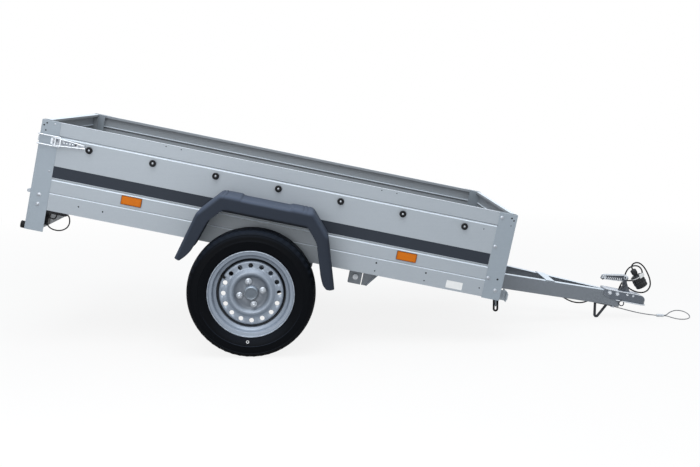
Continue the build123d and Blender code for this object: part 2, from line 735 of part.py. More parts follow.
def marker_brackets():
    """Plates that hold the front reflectors ahead of the front posts."""
    leg = post_inner + 3.0
    bracket = block((box_length, box_length + 2), (-marker_y[1], -leg), (marker_z[0] + 4, marker_z[1]))
    bracket += block((box_length, marker_x), (-leg - 2, -leg), marker_z)
    bracket += block((marker_x, marker_x + 2), (-marker_y[1], -marker_y[0]), marker_z)
    return both_sides(bracket)


def front_reflectors():
    lens = block((marker_x + 2, marker_x + 9), (-marker_y[1] + 7, -marker_y[0] - 7),
                 (marker_z[0] + 3, marker_z[1] - 3))
    return both_sides(fillet(lens.edges().filter_by(Axis.X), 4.0))


# ================================================================ cover knobs and buffers
knob_height = 290.0
knob_places = (217.0, 492.0, 766.0, 1041.0, 1316.0, 1592.0, 1868.0)
end_knob_places = (-350.0, 0.0, 350.0)
knob_profile = ((0, 0), (12.0, 0), (8.0, 3.0), (8.0, 8.0), (15.0, 10.0), (15.0, 12.5), (11.0, 15.0), (0, 15.0))


def knob(place, direction):
    face = Face(Wire.make_polygon([Vector(r, 0, h) for r, h in knob_profile], close=True))
    return Plane(origin=place, z_dir=direction) * revolve(face, axis=Axis.Z)


def cover_knobs():
    parts = []
    for x in knob_places:
        parts += both_sides(knob((x, -wall_face, knob_height), (0, -1, 0)))
    face = box_length - post_sheet
    return parts + [knob((face, y, knob_height), (1, 0, 0)) for y in end_knob_places]


def gate_knobs():
    return [knob((gate_face, y, knob_height), (-1, 0, 0)) for y in end_knob_places]


def rear_buffers():
    middle = (half_box + post_inner) / 2
    buffer = rod((-22.0, -middle, -84.0), (0, -middle, -84.0), 16.0)
    return both_sides(fillet(buffer.faces().sort_by(Axis.X)[0].edges(), 3.0))


# ================================================================ tilt lock
lock_x = box_length + 32.0
lock_z = 18.0
lock_clear = 6.0
lock_plate_y = 238.0
pin_end_y = 276.0
handle_drop = 122.0
handle_half = 11.0
handle_bar = 3.5


def tilt_lock():
    """Plate under the front wall with a sleeve and its locking pin, drawn back from the beam."""
    back = lock_x - 72.0
    plate = side_plate([(back, floor_bottom - wall_sheet), (back + 36.0, floor_bottom - wall_sheet),
                        (lock_x + 14, lock_z + 16), (lock_x + 16, lock_z - 14), (lock_x - 18, lock_z - 16),
                        (back, 44.0)], (-lock_plate_y - 5, -lock_plate_y))
    sleeve = rod((lock_x, -lock_plate_y - 16, lock_z), (lock_x, -lock_plate_y + 12, lock_z), 11.0)
    beam_face = beam_line(lock_x) + beam_sheet
    pin = rod((lock_x, -pin_end_y, lock_z), (lock_x, -beam_face - lock_clear, lock_z), 6.0)
    return [plate + sleeve + pin]


def tilt_lock_handle():
    """Pull loop that hangs plumb from the pin while the trailer stands nose down."""
    tilt = math.radians(parked_tilt)
    down, across = (math.sin(tilt), -math.cos(tilt)), (math.cos(tilt), math.sin(tilt))

    def at(side, drop):
        return (lock_x + across[0] * side + down[0] * drop, -pin_end_y + 6,
                lock_z + across[1] * side + down[1] * drop)
    loop = bent_bar([at(-handle_half, 0), at(-handle_half, handle_drop), at(handle_half, handle_drop),
                     at(handle_half, 0)], [9.0, 9.0], handle_bar)
    collar = rod((lock_x, -pin_end_y, lock_z), (lock_x, -pin_end_y + 12, lock_z), 13.0)
    collar -= rod((lock_x, -pin_end_y, lock_z), (lock_x, -pin_end_y + 12, lock_z), 6.0 + seat_gap)
    return [loop - rod((lock_x, -pin_end_y, lock_z), (lock_x, -pin_end_y + 12, lock_z), 12.0) + collar]


# ================================================================ cables and plug
def cord_tube(points, radius):
    """Straight runs joined by tangent arcs as large as the runs allow."""
    nodes_at = [Vector(*p) for p in points]
    radii = []
    for a, b, c in zip(nodes_at, nodes_at[1:], nodes_at[2:]):
        half_turn = math.radians((b - a).get_angle(c - b)) / 2
        radii.append(0.45 * min((b - a).length, (c - b).length) / math.tan(half_turn))
    tube = bent_bar(points, radii, radius)
    length = FilletPolyline(*points, radius=radii).length
    print("cord radii", [round(r) for r in radii], "length", round(length, 1),
          "fill", round(tube.volume / (math.pi * radius ** 2 * length), 4))
    return tube


drawbar_cable_radius = 3.3
drawbar_cable_points = (
    (2380.0, -124.8, 8.0), (2430.0, -110.6, 8.0), (2476.0, -60.0, 9.0), (2506.0, -49.0, -7.0),
    (2555.0, -44.0, -22.0), (2605.0, -34.0, -19.0), (2640.0, -12.0, -6.0), (2664.0, -2.0, 7.0),
    (2690.0, 0.0, 20.0))


def drawbar_cable():
    return [cord_tube(drawbar_cable_points, drawbar_cable_radius)]


tow_cable_radius = 3.5
tow_gland = (2792.0, 17.0)
tow_gland_height = 20.0
tow_points = (
    (2792.0, 17.0, 96.2), (2792.0, 17.0, 111.0), (2814.0, 25.0, 127.0), (2846.0, 36.0, 130.0),
    (2878.0, 43.0, 142.0), (2896.0, 42.0, 166.0), (2886.0, 34.0, 194.0), (2862.0, 26.0, 211.0),
    (2834.0, 24.0, 208.0), (2812.0, 24.0, 190.0), (2804.0, 25.0, 162.0), (2806.0, 25.0, 130.0),
    (2820.0, 20.0, 102.0), (2852.0, 6.0, 86.0), (2892.0, -2.0, 83.0), (2922.0, -3.0, 97.0),
    (2934.0, -2.0, 126.0), (2926.0, 0.0, 156.0), (2909.0, 0.0, 182.0), (2889.0, 0.0, 206.0),
    (2868.0, 0.0, 223.0), (2845.0, 0.0, 231.0), (2824.0, 0.0, 222.0), (2816.0, 0.0, 204.0),
    (2827.8, 0.0, 189.8))


def cable_gland():
    """Rubber strain relief on the coupling's top."""
    x, y = tow_gland
    cone = Cone(7.5, 5.0, tow_gland_height, align=(Align.CENTER, Align.CENTER, Align.MIN))
    return [Pos(x, y, coupling_top) * cone]


def tow_cable():
    return [cord_tube(tow_points, tow_cable_radius)]


plug_top = (2828.0, 0.0, 189.5)
plug_end = (2894.0, 0.0, 117.0)
# along the plug from the cable's end: distance and radius
plug_profile = ((0, 0), (0, 12.0), (3.0, 15.0), (22.0, 15.0), (26.0, 11.5), (30.0, 11.5), (33.0, 22.0),
                (40.0, 30.0), (60.0, 31.0), (60.0, 32.5), (78.0, 32.5), (78.0, 30.5), (98.0, 30.0), (98.0, 0))


def plug():
    face = Face(Wire.make_polygon([Vector(r, 0, h) for h, r in plug_profile], close=True))
    axis = Vector(*plug_end) - Vector(*plug_top)
    return [Plane(origin=plug_top, z_dir=axis) * revolve(face, axis=Axis.Z)]


safety_radius = 2.5
safety_clip_x = 2772.0
safety_points = ((2772.2, -22.0, -6.4), (2808.0, -23.0, -8.5), (2857.0, -26.0, -11.5), (2908.0, -30.5, -12.0),
                 (2949.0, -36.0, -9.5), (2983.8, -42.0, -5.0))
ferrule_start = (2984.0, -42.0, -5.0)
ferrule_end = (3018.0, -46.0, 1.0)
eye_points = ((3018.6, -49.0, 1.2), (3034.0, -50.9, 3.9), (3056.0, -62.0, 1.5), (3086.0, -72.0, 2.0),
              (3114.0, -75.0, 7.5), (3138.0, -65.0, 14.0), (3150.0, -44.0, 23.0), (3142.0, -21.0, 33.0),
              (3114.0, -8.0, 38.0), (3080.0, -8.0, 33.0), (3050.0, -22.0, 18.0), (3034.0, -40.0, 5.0),
              (3019.4, -43.0, 1.3))


def safety_clip():
    clip = block((safety_clip_x - 16, safety_clip_x), (-30.0, -14.0), (beam_bottom - 9.0, beam_bottom))
    return [clip]


def safety_cable():
    return [cord_tube(safety_points, safety_radius)]


def safety_eye():
    return [cord_tube(eye_points, safety_radius)]


def safety_ferrule():
    return [rod(ferrule_start, ferrule_end, 7.0)]


# ================================================================ stance
bend = foot_bottom()
foot_reach = foot_bar_radius + foot_bend
run = bend.X - wheel_x
rise = bend.Z - wheel_z
parked_tilt = math.degrees(math.atan2(rise, run)
                           - math.asin((foot_reach - tyre_radius) / math.hypot(run, rise)))

nodes = {
    "side_walls": side_walls(),
    "front_wall": front_wall(),
    "rear_posts": rear_posts(),
    "front_posts": front_posts(),
    "floor_panel": floor_panel(),
    "cross_members": cross_members(),
    "axle_tube": axle_tube(),
    "axle_brackets": axle_brackets(),
    "swing_arms": swing_arms(),
    "mudguards": mudguards(),
    "pivot_hangers": pivot_hangers(),
    "pivot_bolts": pivot_bolts(),
    "sill_hinges": sill_hinges(),
    "tailgate_panel": tailgate_panel(),
    "gate_hinges": gate_hinges(),
    "tyre_right": tyre(-1),
    "rim_right": rim(-1),
    "hub_right": hub(-1),
    "tyre_left": tyre(1),
    "rim_left": rim(1),
    "hub_left": hub(1),
    "drawbar_beams": beams(),
    "drawbar_crossbar": crossbar(),
    "drawbar_strap": strap(),
    "drawbar_foot": foot(),
    "coupling_head": coupling(),
    "coupling_handle": coupling_handle(),
    "coupling_bolts": coupling_bolts(),
    "gate_hooks": gate_hooks(),
    "gate_knobs": gate_knobs(),
    "latch_levers": latch_levers(),
    "latch_bails": latch_bails(),
    "lamp_bar": lamp_bar(),
    "rear_lamps": rear_lamps(),
    "lamp_backs": lamp_backs(),
    "cable_ducts": cable_ducts(),
    "lamp_cables": lamp_cables(),
    "licence_plate": licence_plate(),
    "side_reflectors": side_reflectors(),
    "marker_brackets": marker_brackets(),
    "front_reflectors": front_reflectors(),
    "cover_knobs": cover_knobs(),
    "rear_buffers": rear_buffers(),
    "tilt_lock": tilt_lock(),
    "tilt_lock_handle": tilt_lock_handle(),
    "drawbar_cable": drawbar_cable(),
    "cable_gland": cable_gland(),
    "tow_cable": tow_cable(),
    "plug": plug(),
    "safety_clip": safety_clip(),
    "safety_cable": safety_cable(),
    "safety_eye": safety_eye(),
    "safety_ferrule": safety_ferrule(),
}
cord_nodes = ("tow_cable", "plug", "safety_cable", "safety_eye", "safety_ferrule")

tilted = Rotation(0, parked_tilt, 0)
parked = {name: [tilted * s for s in shapes] for name, shapes in nodes.items()}
rigid = [s for name, shapes in parked.items() if name not in cord_nodes for s in shapes]
extent = Compound(children=rigid).bounding_box()
origin = Pos(-(extent.min.X + extent.max.X) / 2, -(extent.min.Y + extent.max.Y) / 2, -extent.min.Z)
for name, shapes in parked.items():
    export_step(Compound(children=[origin * s for s in shapes]), f"parts/{name}.step")
print("tilt", round(parked_tilt, 3), "origin", origin)
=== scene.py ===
import json
import math

import bmesh
import bpy
from mathutils import Matrix, Vector


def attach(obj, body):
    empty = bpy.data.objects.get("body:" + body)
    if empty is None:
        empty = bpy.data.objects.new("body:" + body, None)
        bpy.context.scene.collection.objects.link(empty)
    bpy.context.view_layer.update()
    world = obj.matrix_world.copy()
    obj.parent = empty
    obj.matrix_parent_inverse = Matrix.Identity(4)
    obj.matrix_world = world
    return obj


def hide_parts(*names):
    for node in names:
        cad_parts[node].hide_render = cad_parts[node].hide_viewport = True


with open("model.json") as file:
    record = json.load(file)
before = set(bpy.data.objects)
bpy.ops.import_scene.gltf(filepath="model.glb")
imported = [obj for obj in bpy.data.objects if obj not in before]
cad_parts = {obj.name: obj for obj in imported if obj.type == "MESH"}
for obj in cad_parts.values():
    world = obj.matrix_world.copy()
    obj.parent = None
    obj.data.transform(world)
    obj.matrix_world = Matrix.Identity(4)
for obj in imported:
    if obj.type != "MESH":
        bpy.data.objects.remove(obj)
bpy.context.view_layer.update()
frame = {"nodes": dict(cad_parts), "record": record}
nodes = frame["nodes"]
record = frame["record"]
mounts = {mount["name"]: mount for mount in record["mounts"]}
slotOfNode = {part["node"]: part["material_slot"] for part in record["subparts"]}
print("frame loaded:", len(nodes), "nodes")

# Pieces are drawn on the level trailer in millimetres: x forward from the rear posts, y left,
# z up from the side walls' lower edge. This matrix sets them down on the parked one.
loadFloor = mounts["load_floor"]
loadFloorLevel = (1.045, 0.0, 0.0835)
parkedTilt = math.atan2(loadFloor["axis"][0], loadFloor["axis"][2])
levelToRow = (Matrix.Translation(loadFloor["pos_m"]) @ Matrix.Rotation(parkedTilt, 4, "Y")
              @ Matrix.Translation([-value for value in loadFloorLevel]))
mmToRow = levelToRow @ Matrix.Scale(0.001, 4)
rowToMm = mmToRow.inverted()

trailer = {"half": 565.0, "wallFace": 563.0, "wheelX": 1016.5, "wheelZ": -151.5, "wheelPlane": 691.5}
sides = (-1, 1)  # right, left

cameraFacts = {"place": (1.1185, -5.1853, 0.7366), "turn": (82.7454, -11.6532, -1.8206), "lens": 55.0}
camera = bpy.data.objects.new("threeQuarterView", bpy.data.cameras.new("threeQuarterView"))
bpy.context.scene.collection.objects.link(camera)
camera.data.lens = cameraFacts["lens"]
camera.data.sensor_width = 36.0
camera.data.clip_end = 200.0
turn = [math.radians(angle) for angle in cameraFacts["turn"]]
camera.matrix_world = (levelToRow @ Matrix.Translation(cameraFacts["place"])
                       @ Matrix.Rotation(turn[2], 4, "Z") @ Matrix.Rotation(turn[1], 4, "Y")
                       @ Matrix.Rotation(turn[0], 4, "X"))
bpy.context.scene.camera = camera

towCable = {
    "radius": 3.5, "length": 0.685, "node": "tow_cable",
    "points": [
        (2792.0, 17.0, 96.2), (2792.0, 17.0, 111.0), (2814.0, 25.0, 127.0), (2846.0, 36.0, 130.0),
        (2878.0, 43.0, 142.0), (2896.0, 42.0, 166.0), (2886.0, 34.0, 194.0), (2862.0, 26.0, 211.0),
        (2834.0, 24.0, 208.0), (2812.0, 24.0, 190.0), (2804.0, 25.0, 162.0), (2806.0, 25.0, 130.0),
        (2820.0, 20.0, 102.0), (2852.0, 6.0, 86.0), (2892.0, -2.0, 83.0), (2922.0, -3.0, 97.0),
        (2934.0, -2.0, 126.0), (2926.0, 0.0, 156.0), (2909.0, 0.0, 182.0), (2889.0, 0.0, 206.0),
        (2868.0, 0.0, 223.0), (2845.0, 0.0, 231.0), (2824.0, 0.0, 222.0), (2816.0, 0.0, 204.0),
        (2827.8, 0.0, 189.8)]}
safetyCable = {
    "radius": 2.5, "length": 0.213, "node": "safety_cable",
    "points": [
        (2772.2, -22.0, -6.4), (2808.0, -23.0, -8.5), (2857.0, -26.0, -11.5), (2908.0, -30.5, -12.0),
        (2949.0, -36.0, -9.5), (2983.8, -42.0, -5.0)]}
safetyEye = {
    "radius": 2.5, "length": 0.318, "node": "safety_eye",
    "points": [
        (3018.6, -49.0, 1.2), (3034.0, -50.9, 3.9), (3056.0, -62.0, 1.5), (3086.0, -72.0, 2.0),
        (3114.0, -75.0, 7.5), (3138.0, -65.0, 14.0), (3150.0, -44.0, 23.0), (3142.0, -21.0, 33.0),
        (3114.0, -8.0, 38.0), (3080.0, -8.0, 33.0), (3050.0, -22.0, 18.0), (3034.0, -40.0, 5.0),
        (3019.4, -43.0, 1.3)]}
drawbarCable = {
    "radius": 3.3, "node": "drawbar_cable",
    "points": [
        (2380.0, -124.8, 8.0), (2430.0, -110.6, 8.0), (2476.0, -60.0, 9.0), (2506.0, -49.0, -7.0),
        (2555.0, -44.0, -22.0), (2605.0, -34.0, -19.0), (2640.0, -12.0, -6.0), (2664.0, -2.0, 7.0),
        (2690.0, 0.0, 20.0)]}
lampLoop = {
    "radius": 2.8, "node": "lamp_cables",
    "points": [
        (166.2, -548.5, -6.6), (174.0, -548.5, -6.6), (182.0, -548.0, -22.0), (184.0, -547.0, -41.0),
        (178.0, -546.0, -59.0), (165.0, -545.0, -72.0), (148.0, -545.0, -80.0), (131.0, -545.0, -82.0),
        (113.0, -545.0, -80.0), (99.0, -546.0, -73.0), (88.0, -547.0, -60.0), (86.0, -548.0, -42.0),
        (96.0, -548.5, -26.0), (96.0, -548.5, -13.2)]}
lampLink = {
    "radius": 2.8, "node": "lamp_cables",
    "points": [
        (124.0, -548.5, -13.2), (124.0, -548.5, -25.0), (112.0, -530.0, -38.0), (100.0, -504.0, -40.0),
        (84.2, -504.0, -40.0)]}


def routeCurve(name, facts, mirrored=False):
    curve = bpy.data.curves.new(name, "CURVE")
    curve.dimensions = "3D"
    curve.resolution_u = 8
    curve.use_fill_caps = True
    spline = curve.splines.new("NURBS")
    spline.points.add(len(facts["points"]) - 1)
    for point, (x, y, z) in zip(spline.points, facts["points"]):
        point.co = (*(mmToRow @ Vector((x, -y if mirrored else y, z))), 1.0)
    spline.order_u = 3
    spline.use_endpoint_u = True
    cable = bpy.data.objects.new(name, curve)
    bpy.context.scene.collection.objects.link(cable)
    return cable


def routeLine(cable):
    # points of the route's own smooth line, in level millimetres
    line = bpy.data.meshes.new_from_object(cable)
    places = [rowToMm @ vertex.co for vertex in line.vertices]
    bpy.data.meshes.remove(line)
    return places


def laidCable(cable, facts, body, material):
    cable.data.bevel_depth = facts["radius"] / 1000
    cable.data.bevel_resolution = 5
    cable.data.materials.append(material)
    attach(cable, body)
    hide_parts(facts["node"])
    return cable


towRoute = routeCurve("towCable", towCable)
safetyRoute = routeCurve("safetyRoute", safetyCable)
eyeRoute = routeCurve("eyeRoute", safetyEye)
drawbarRoute = routeCurve("drawbarCable", drawbarCable)
lampRoutes = [(routeCurve(label + word, facts, mirrored), facts)
              for word, mirrored in (("Right", False), ("Left", True))
              for label, facts in (("lampLoop", lampLoop), ("lampLink", lampLink))]
safetyLine, eyeLine = routeLine(safetyRoute), routeLine(eyeRoute)
for route in (safetyRoute, eyeRoute):
    bpy.data.objects.remove(route)
print("camera and cable routes set")


def addNode(tree, kind, **settings):
    node = tree.nodes.new(kind)
    for key, value in settings.items():
        setattr(node, key, value)
    return node


def setInputs(node, **values):
    for key, value in values.items():
        node.inputs[key.replace("_", " ")].default_value = value
    return node


def objectPlace(tree):
    return addNode(tree, "ShaderNodeTexCoord").outputs["Object"]


def splitVector(tree, vector):
    split = addNode(tree, "ShaderNodeSeparateXYZ")
    tree.links.new(vector, split.inputs[0])
    return split.outputs


def vectorCalculate(tree, operation, first, second=None):
    node = addNode(tree, "ShaderNodeVectorMath", operation=operation)
    tree.links.new(first, node.inputs[0])
    if second is not None:
        node.inputs[1].default_value = second
    return node.outputs


def newGroup(name, inputs, outputs):
    tree = bpy.data.node_groups.new(name, "ShaderNodeTree")
    for socketName, kind, value in inputs:
        socket = tree.interface.new_socket(name=socketName, in_out="INPUT", socket_type="NodeSocket" + kind)
        socket.default_value = value
    for socketName, kind in outputs:
        tree.interface.new_socket(name=socketName, in_out="OUTPUT", socket_type="NodeSocket" + kind)
    return tree, tree.nodes.new("NodeGroupInput"), tree.nodes.new("NodeGroupOutput")


def noiseAt(tree, coordinates, scale, detail=3.0, roughness=0.55, stretch=None):
    if stretch:
        mapping = addNode(tree, "ShaderNodeMapping")
        mapping.inputs["Scale"].default_value = stretch
        tree.links.new(coordinates, mapping.inputs["Vector"])
        coordinates = mapping.outputs["Vector"]
    texture = addNode(tree, "ShaderNodeTexNoise")
    setInputs(texture, Scale=scale, Detail=detail, Roughness=roughness)
    tree.links.new(coordinates, texture.inputs["Vector"])
    return texture.outputs["Fac"]


def mapRange(tree, value, low, high, toLow=0.0, toHigh=1.0):
    node = addNode(tree, "ShaderNodeMapRange")
    for index, number in enumerate((low, high, toLow, toHigh), 1):
        node.inputs[index].default_value = number
    tree.links.new(value, node.inputs[0])
    return node.outputs[0]


def calculate(tree, operation, first, second=0.0):
    node = addNode(tree, "ShaderNodeMath", operation=operation)
    for index, value in enumerate((first, second)):
        if isinstance(value, (int, float)):
            node.inputs[index].default_value = value
        else:
            tree.links.new(value, node.inputs[index])
    return node.outputs[0]


def mixColour(tree, factor, first, second, blend="MIX"):
    node = addNode(tree, "ShaderNodeMix", data_type="RGBA", blend_type=blend)
    for index, value in ((0, factor), (6, first), (7, second)):
        if isinstance(value, (int, float)):
            node.inputs[index].default_value = value
        elif isinstance(value, tuple):
            node.inputs[index].default_value = (*value, 1.0) if len(value) == 3 else value
        else:
            tree.links.new(value, node.inputs[index])
    return node.outputs[2]


def brightened(tree, colour, amount):
    # colour times one plus amount
    scaled = addNode(tree, "ShaderNodeVectorMath", operation="SCALE")
    tree.links.new(colour, scaled.inputs[0])
    tree.links.new(calculate(tree, "ADD", amount, 1.0), scaled.inputs["Scale"])
    return scaled.outputs[0]


def zincSkinGroup():
    # crystals, clouds and rolling streaks of zinc on sheet, in metres of the trailer
    tree, given, put = newGroup(
        "zincSkin",
        [("Colour", "Color", (0.4, 0.43, 0.47, 1)), ("Crystal Size", "Float", 0.008),
         ("Crystal Contrast", "Float", 0.08), ("Cloud Contrast", "Float", 0.1), ("Roughness", "Float", 0.4)],
        [("Colour", "Color"), ("Roughness", "Float"), ("Height", "Float")])
    place = objectPlace(tree)
    density = calculate(tree, "DIVIDE", 1.0, given.outputs["Crystal Size"])
    crystals = addNode(tree, "ShaderNodeTexVoronoi")
    tree.links.new(place, crystals.inputs["Vector"])
    tree.links.new(density, crystals.inputs["Scale"])
    grey = addNode(tree, "ShaderNodeRGBToBW")
    tree.links.new(crystals.outputs["Color"], grey.inputs[0])
    crystal = calculate(tree, "MULTIPLY", calculate(tree, "SUBTRACT", grey.outputs[0], 0.5),
                        given.outputs["Crystal Contrast"])
    cloud = calculate(tree, "MULTIPLY", calculate(tree, "SUBTRACT", noiseAt(tree, place, 3.2, 4.0), 0.5),
                      given.outputs["Cloud Contrast"])
    streak = noiseAt(tree, place, 1.0, 3.0, stretch=(3.0, 3.0, 160.0))
    streak = calculate(tree, "MULTIPLY", calculate(tree, "SUBTRACT", streak, 0.5), 0.05)
    total = calculate(tree, "ADD", calculate(tree, "ADD", crystal, cloud), streak)
    tree.links.new(brightened(tree, given.outputs["Colour"], total), put.inputs["Colour"])
    rough = calculate(tree, "ADD", given.outputs["Roughness"], calculate(tree, "MULTIPLY", total, 0.8))
    tree.links.new(rough, put.inputs["Roughness"])
    tree.links.new(grey.outputs[0], put.inputs["Height"])
    return tree


def mouldedGrainGroup():
    # fine leathery grain of moulded plastic and rubber
    tree, given, put = newGroup(
        "mouldedGrain",
        [("Colour", "Color", (0.1, 0.1, 0.1, 1)), ("Grain Size", "Float", 0.002), ("Fade", "Float", 0.1),
         ("Roughness", "Float", 0.5)],
        [("Colour", "Color"), ("Roughness", "Float"), ("Height", "Float")])
    place = objectPlace(tree)
    density = calculate(tree, "DIVIDE", 1.0, given.outputs["Grain Size"])
    grain = addNode(tree, "ShaderNodeTexNoise")
    setInputs(grain, Detail=2.0, Roughness=0.6)
    tree.links.new(place, grain.inputs["Vector"])
    tree.links.new(density, grain.inputs["Scale"])
    cloud = calculate(tree, "SUBTRACT", noiseAt(tree, place, 9.0, 4.0), 0.5)
    faded = calculate(tree, "MULTIPLY", cloud, given.outputs["Fade"])
    tree.links.new(brightened(tree, given.outputs["Colour"], faded), put.inputs["Colour"])
    rough = calculate(tree, "ADD", given.outputs["Roughness"], calculate(tree, "MULTIPLY", cloud, 0.25))
    tree.links.new(rough, put.inputs["Roughness"])
    tree.links.new(grain.outputs["Fac"], put.inputs["Height"])
    return tree


def edgeWearAndShadeGroup():
    # edge wear with a painted highlight: brightens ridges, broken up so that it isn't an even line; painted
    # shade: darkens creases
    tree, given, put = newGroup(
        "edgeWearAndShade",
        [("Colour", "Color", (0.4, 0.4, 0.4, 1)), ("Edge Colour", "Color", (0.6, 0.6, 0.6, 1)),
         ("Crease Colour", "Color", (0.1, 0.1, 0.1, 1)), ("Amount", "Float", 0.5)],
        [("Colour", "Color"), ("Edge", "Float")])
    geometry = addNode(tree, "ShaderNodeNewGeometry")
    place = objectPlace(tree)
    broken = mapRange(tree, noiseAt(tree, place, 60.0, 3.0), 0.35, 0.65)
    ridge = mapRange(tree, geometry.outputs["Pointiness"], 0.52, 0.62)
    crease = mapRange(tree, geometry.outputs["Pointiness"], 0.48, 0.40)
    ridge = calculate(tree, "MULTIPLY", calculate(tree, "MULTIPLY", ridge, broken), given.outputs["Amount"])
    crease = calculate(tree, "MULTIPLY", crease, given.outputs["Amount"])
    colour = mixColour(tree, ridge, given.outputs["Colour"], given.outputs["Edge Colour"])
    colour = mixColour(tree, crease, colour, given.outputs["Crease Colour"])
    tree.links.new(colour, put.inputs["Colour"])
    tree.links.new(ridge, put.inputs["Edge"])
    return tree


def roadDustGroup():
    # pale dust that settles on upward faces
    tree, given, put = newGroup(
        "roadDust",
        [("Colour", "Color", (0.1, 0.1, 0.1, 1)), ("Dust Colour", "Color", (0.30, 0.28, 0.25, 1)),
         ("Amount", "Float", 0.2), ("Roughness", "Float", 0.5)],
        [("Colour", "Color"), ("Roughness", "Float")])
    geometry = addNode(tree, "ShaderNodeNewGeometry")
    place = objectPlace(tree)
    upward = mapRange(tree, splitVector(tree, geometry.outputs["Normal"])["Z"], -0.2, 1.0, 0.25, 1.0)
    broken = mapRange(tree, noiseAt(tree, place, 14.0, 5.0, 0.65), 0.35, 0.75)
    dust = calculate(tree, "MULTIPLY", calculate(tree, "MULTIPLY", upward, broken), given.outputs["Amount"])
    colour = mixColour(tree, dust, given.outputs["Colour"], given.outputs["Dust Colour"])
    tree.links.new(colour, put.inputs["Colour"])
    rough = calculate(tree, "ADD", given.outputs["Roughness"], calculate(tree, "MULTIPLY", dust, 0.4))
    tree.links.new(rough, put.inputs["Roughness"])
    return tree


def paintedSkyLightGroup():
    # painted light: zinc and plastic that face the sky are painted lighter, as if lit by the sky, and what
    # faces the road is painted darker, as if in shade
    tree, given, put = newGroup(
        "paintedSkyLight",
        [("Colour", "Color", (0.4, 0.4, 0.4, 1)), ("Upward", "Float", 0.3), ("Downward", "Float", 0.2)],
        [("Colour", "Color")])
    facing = splitVector(tree, addNode(tree, "ShaderNodeNewGeometry").outputs["Normal"])["Z"]
    up = calculate(tree, "MULTIPLY", mapRange(tree, facing, 0.15, 0.9), given.outputs["Upward"])
    down = calculate(tree, "MULTIPLY", mapRange(tree, facing, -0.15, -0.9), given.outputs["Downward"])
    tree.links.new(brightened(tree, given.outputs["Colour"], calculate(tree, "SUBTRACT", up, down)),
                   put.inputs["Colour"])
    return tree


def lensPrismsGroup():
    # small moulded prisms behind the smooth face of a lens
    tree, given, put = newGroup(
        "lensPrisms",
        [("Colour", "Color", (0.7, 0.2, 0.0, 1)), ("Pitch", "Float", 0.004), ("Depth", "Float", 0.4)],
        [("Colour", "Color"), ("Height", "Float")])
    place = splitVector(tree, objectPlace(tree))
    density = calculate(tree, "DIVIDE", math.pi, given.outputs["Pitch"])
    turns = [calculate(tree, "MULTIPLY", place[axis], density) for axis in "XYZ"]
    waves = [calculate(tree, "ABSOLUTE", calculate(tree, "SINE", turn)) for turn in turns]
    prism = calculate(tree, "ADD", calculate(tree, "MULTIPLY", waves[0], waves[2]),
                      calculate(tree, "MULTIPLY", waves[1], waves[2]))
    dark = calculate(tree, "MULTIPLY", mapRange(tree, prism, 1.2, 0.0), given.outputs["Depth"])
    tree.links.new(brightened(tree, given.outputs["Colour"], calculate(tree, "MULTIPLY", dark, -1.0)),
                   put.inputs["Colour"])
    tree.links.new(prism, put.inputs["Height"])
    return tree


def boardMeshGroup():
    # brown film on plywood, pressed with a small wire mesh so that a load doesn't slip
    tree, given, put = newGroup(
        "boardMesh", [("Colour", "Color", (0.05, 0.03, 0.02, 1)), ("Mesh Size", "Float", 0.007)],
        [("Colour", "Color"), ("Height", "Float")])
    place = objectPlace(tree)
    cells = addNode(tree, "ShaderNodeTexVoronoi", feature="DISTANCE_TO_EDGE")
    setInputs(cells, Randomness=0.0)
    tree.links.new(place, cells.inputs["Vector"])
    tree.links.new(calculate(tree, "DIVIDE", 1.0, given.outputs["Mesh Size"]), cells.inputs["Scale"])
    wire = mapRange(tree, cells.outputs["Distance"], 0.14, 0.04)
    smears = noiseAt(tree, place, 7.0, 6.0, 0.7, stretch=(1.0, 0.3, 1.0))
    scuffs = mapRange(tree, smears, 0.52, 0.75, 0.0, 0.6)
    total = calculate(tree, "ADD", calculate(tree, "MULTIPLY", wire, 0.25), scuffs)
    tree.links.new(brightened(tree, given.outputs["Colour"], total), put.inputs["Colour"])
    tree.links.new(wire, put.inputs["Height"])
    return tree


# bands of painted shade on the wheel, for the recessed dish and the deep ring at the rim's joint
paintedShadeBand = {"dishEdge": (0.004, -0.008), "ringInner": (0.134, 0.139), "ringOuter": (0.149, 0.145)}  # metres


def wheelPaintedShadeGroup():
    # painted shade: darkens the wheel in two bands of distance from the axle line, in the recessed dish and
    # in the deep ring at the rim's joint
    tree, given, put = newGroup(
        "wheelPaintedShade", [("Colour", "Color", (0.2, 0.2, 0.2, 1)), ("Dish Reach", "Float", 0.076),
                       ("Dish Shade", "Float", 0.45), ("Ring Shade", "Float", 0.7)],
        [("Colour", "Color")])
    axle = mmToRow @ Vector((trailer["wheelX"], 0.0, trailer["wheelZ"]))
    away = vectorCalculate(tree, "SUBTRACT", objectPlace(tree), axle)[0]
    flat = vectorCalculate(tree, "MULTIPLY", away, (1.0, 0.0, 1.0))[0]
    distance = vectorCalculate(tree, "LENGTH", flat)["Value"]
    edge = calculate(tree, "SUBTRACT", distance, given.outputs["Dish Reach"])
    dish = mapRange(tree, edge, *paintedShadeBand["dishEdge"])
    dish = calculate(tree, "MULTIPLY", dish, given.outputs["Dish Shade"])
    ring = calculate(tree, "MULTIPLY", mapRange(tree, distance, *paintedShadeBand["ringInner"]),
                     mapRange(tree, distance, *paintedShadeBand["ringOuter"]))
    ring = calculate(tree, "MULTIPLY", ring, given.outputs["Ring Shade"])
    total = calculate(tree, "MULTIPLY", calculate(tree, "ADD", dish, ring), -1.0)
    tree.links.new(brightened(tree, given.outputs["Colour"], total), put.inputs["Colour"])
    return tree


zincSkin = zincSkinGroup()
mouldedGrain = mouldedGrainGroup()
edgeWearAndShade = edgeWearAndShadeGroup()
roadDust = roadDustGroup()
paintedSkyLight = paintedSkyLightGroup()
lensPrisms = lensPrismsGroup()
boardMesh = boardMeshGroup()
wheelPaintedShade = wheelPaintedShadeGroup()


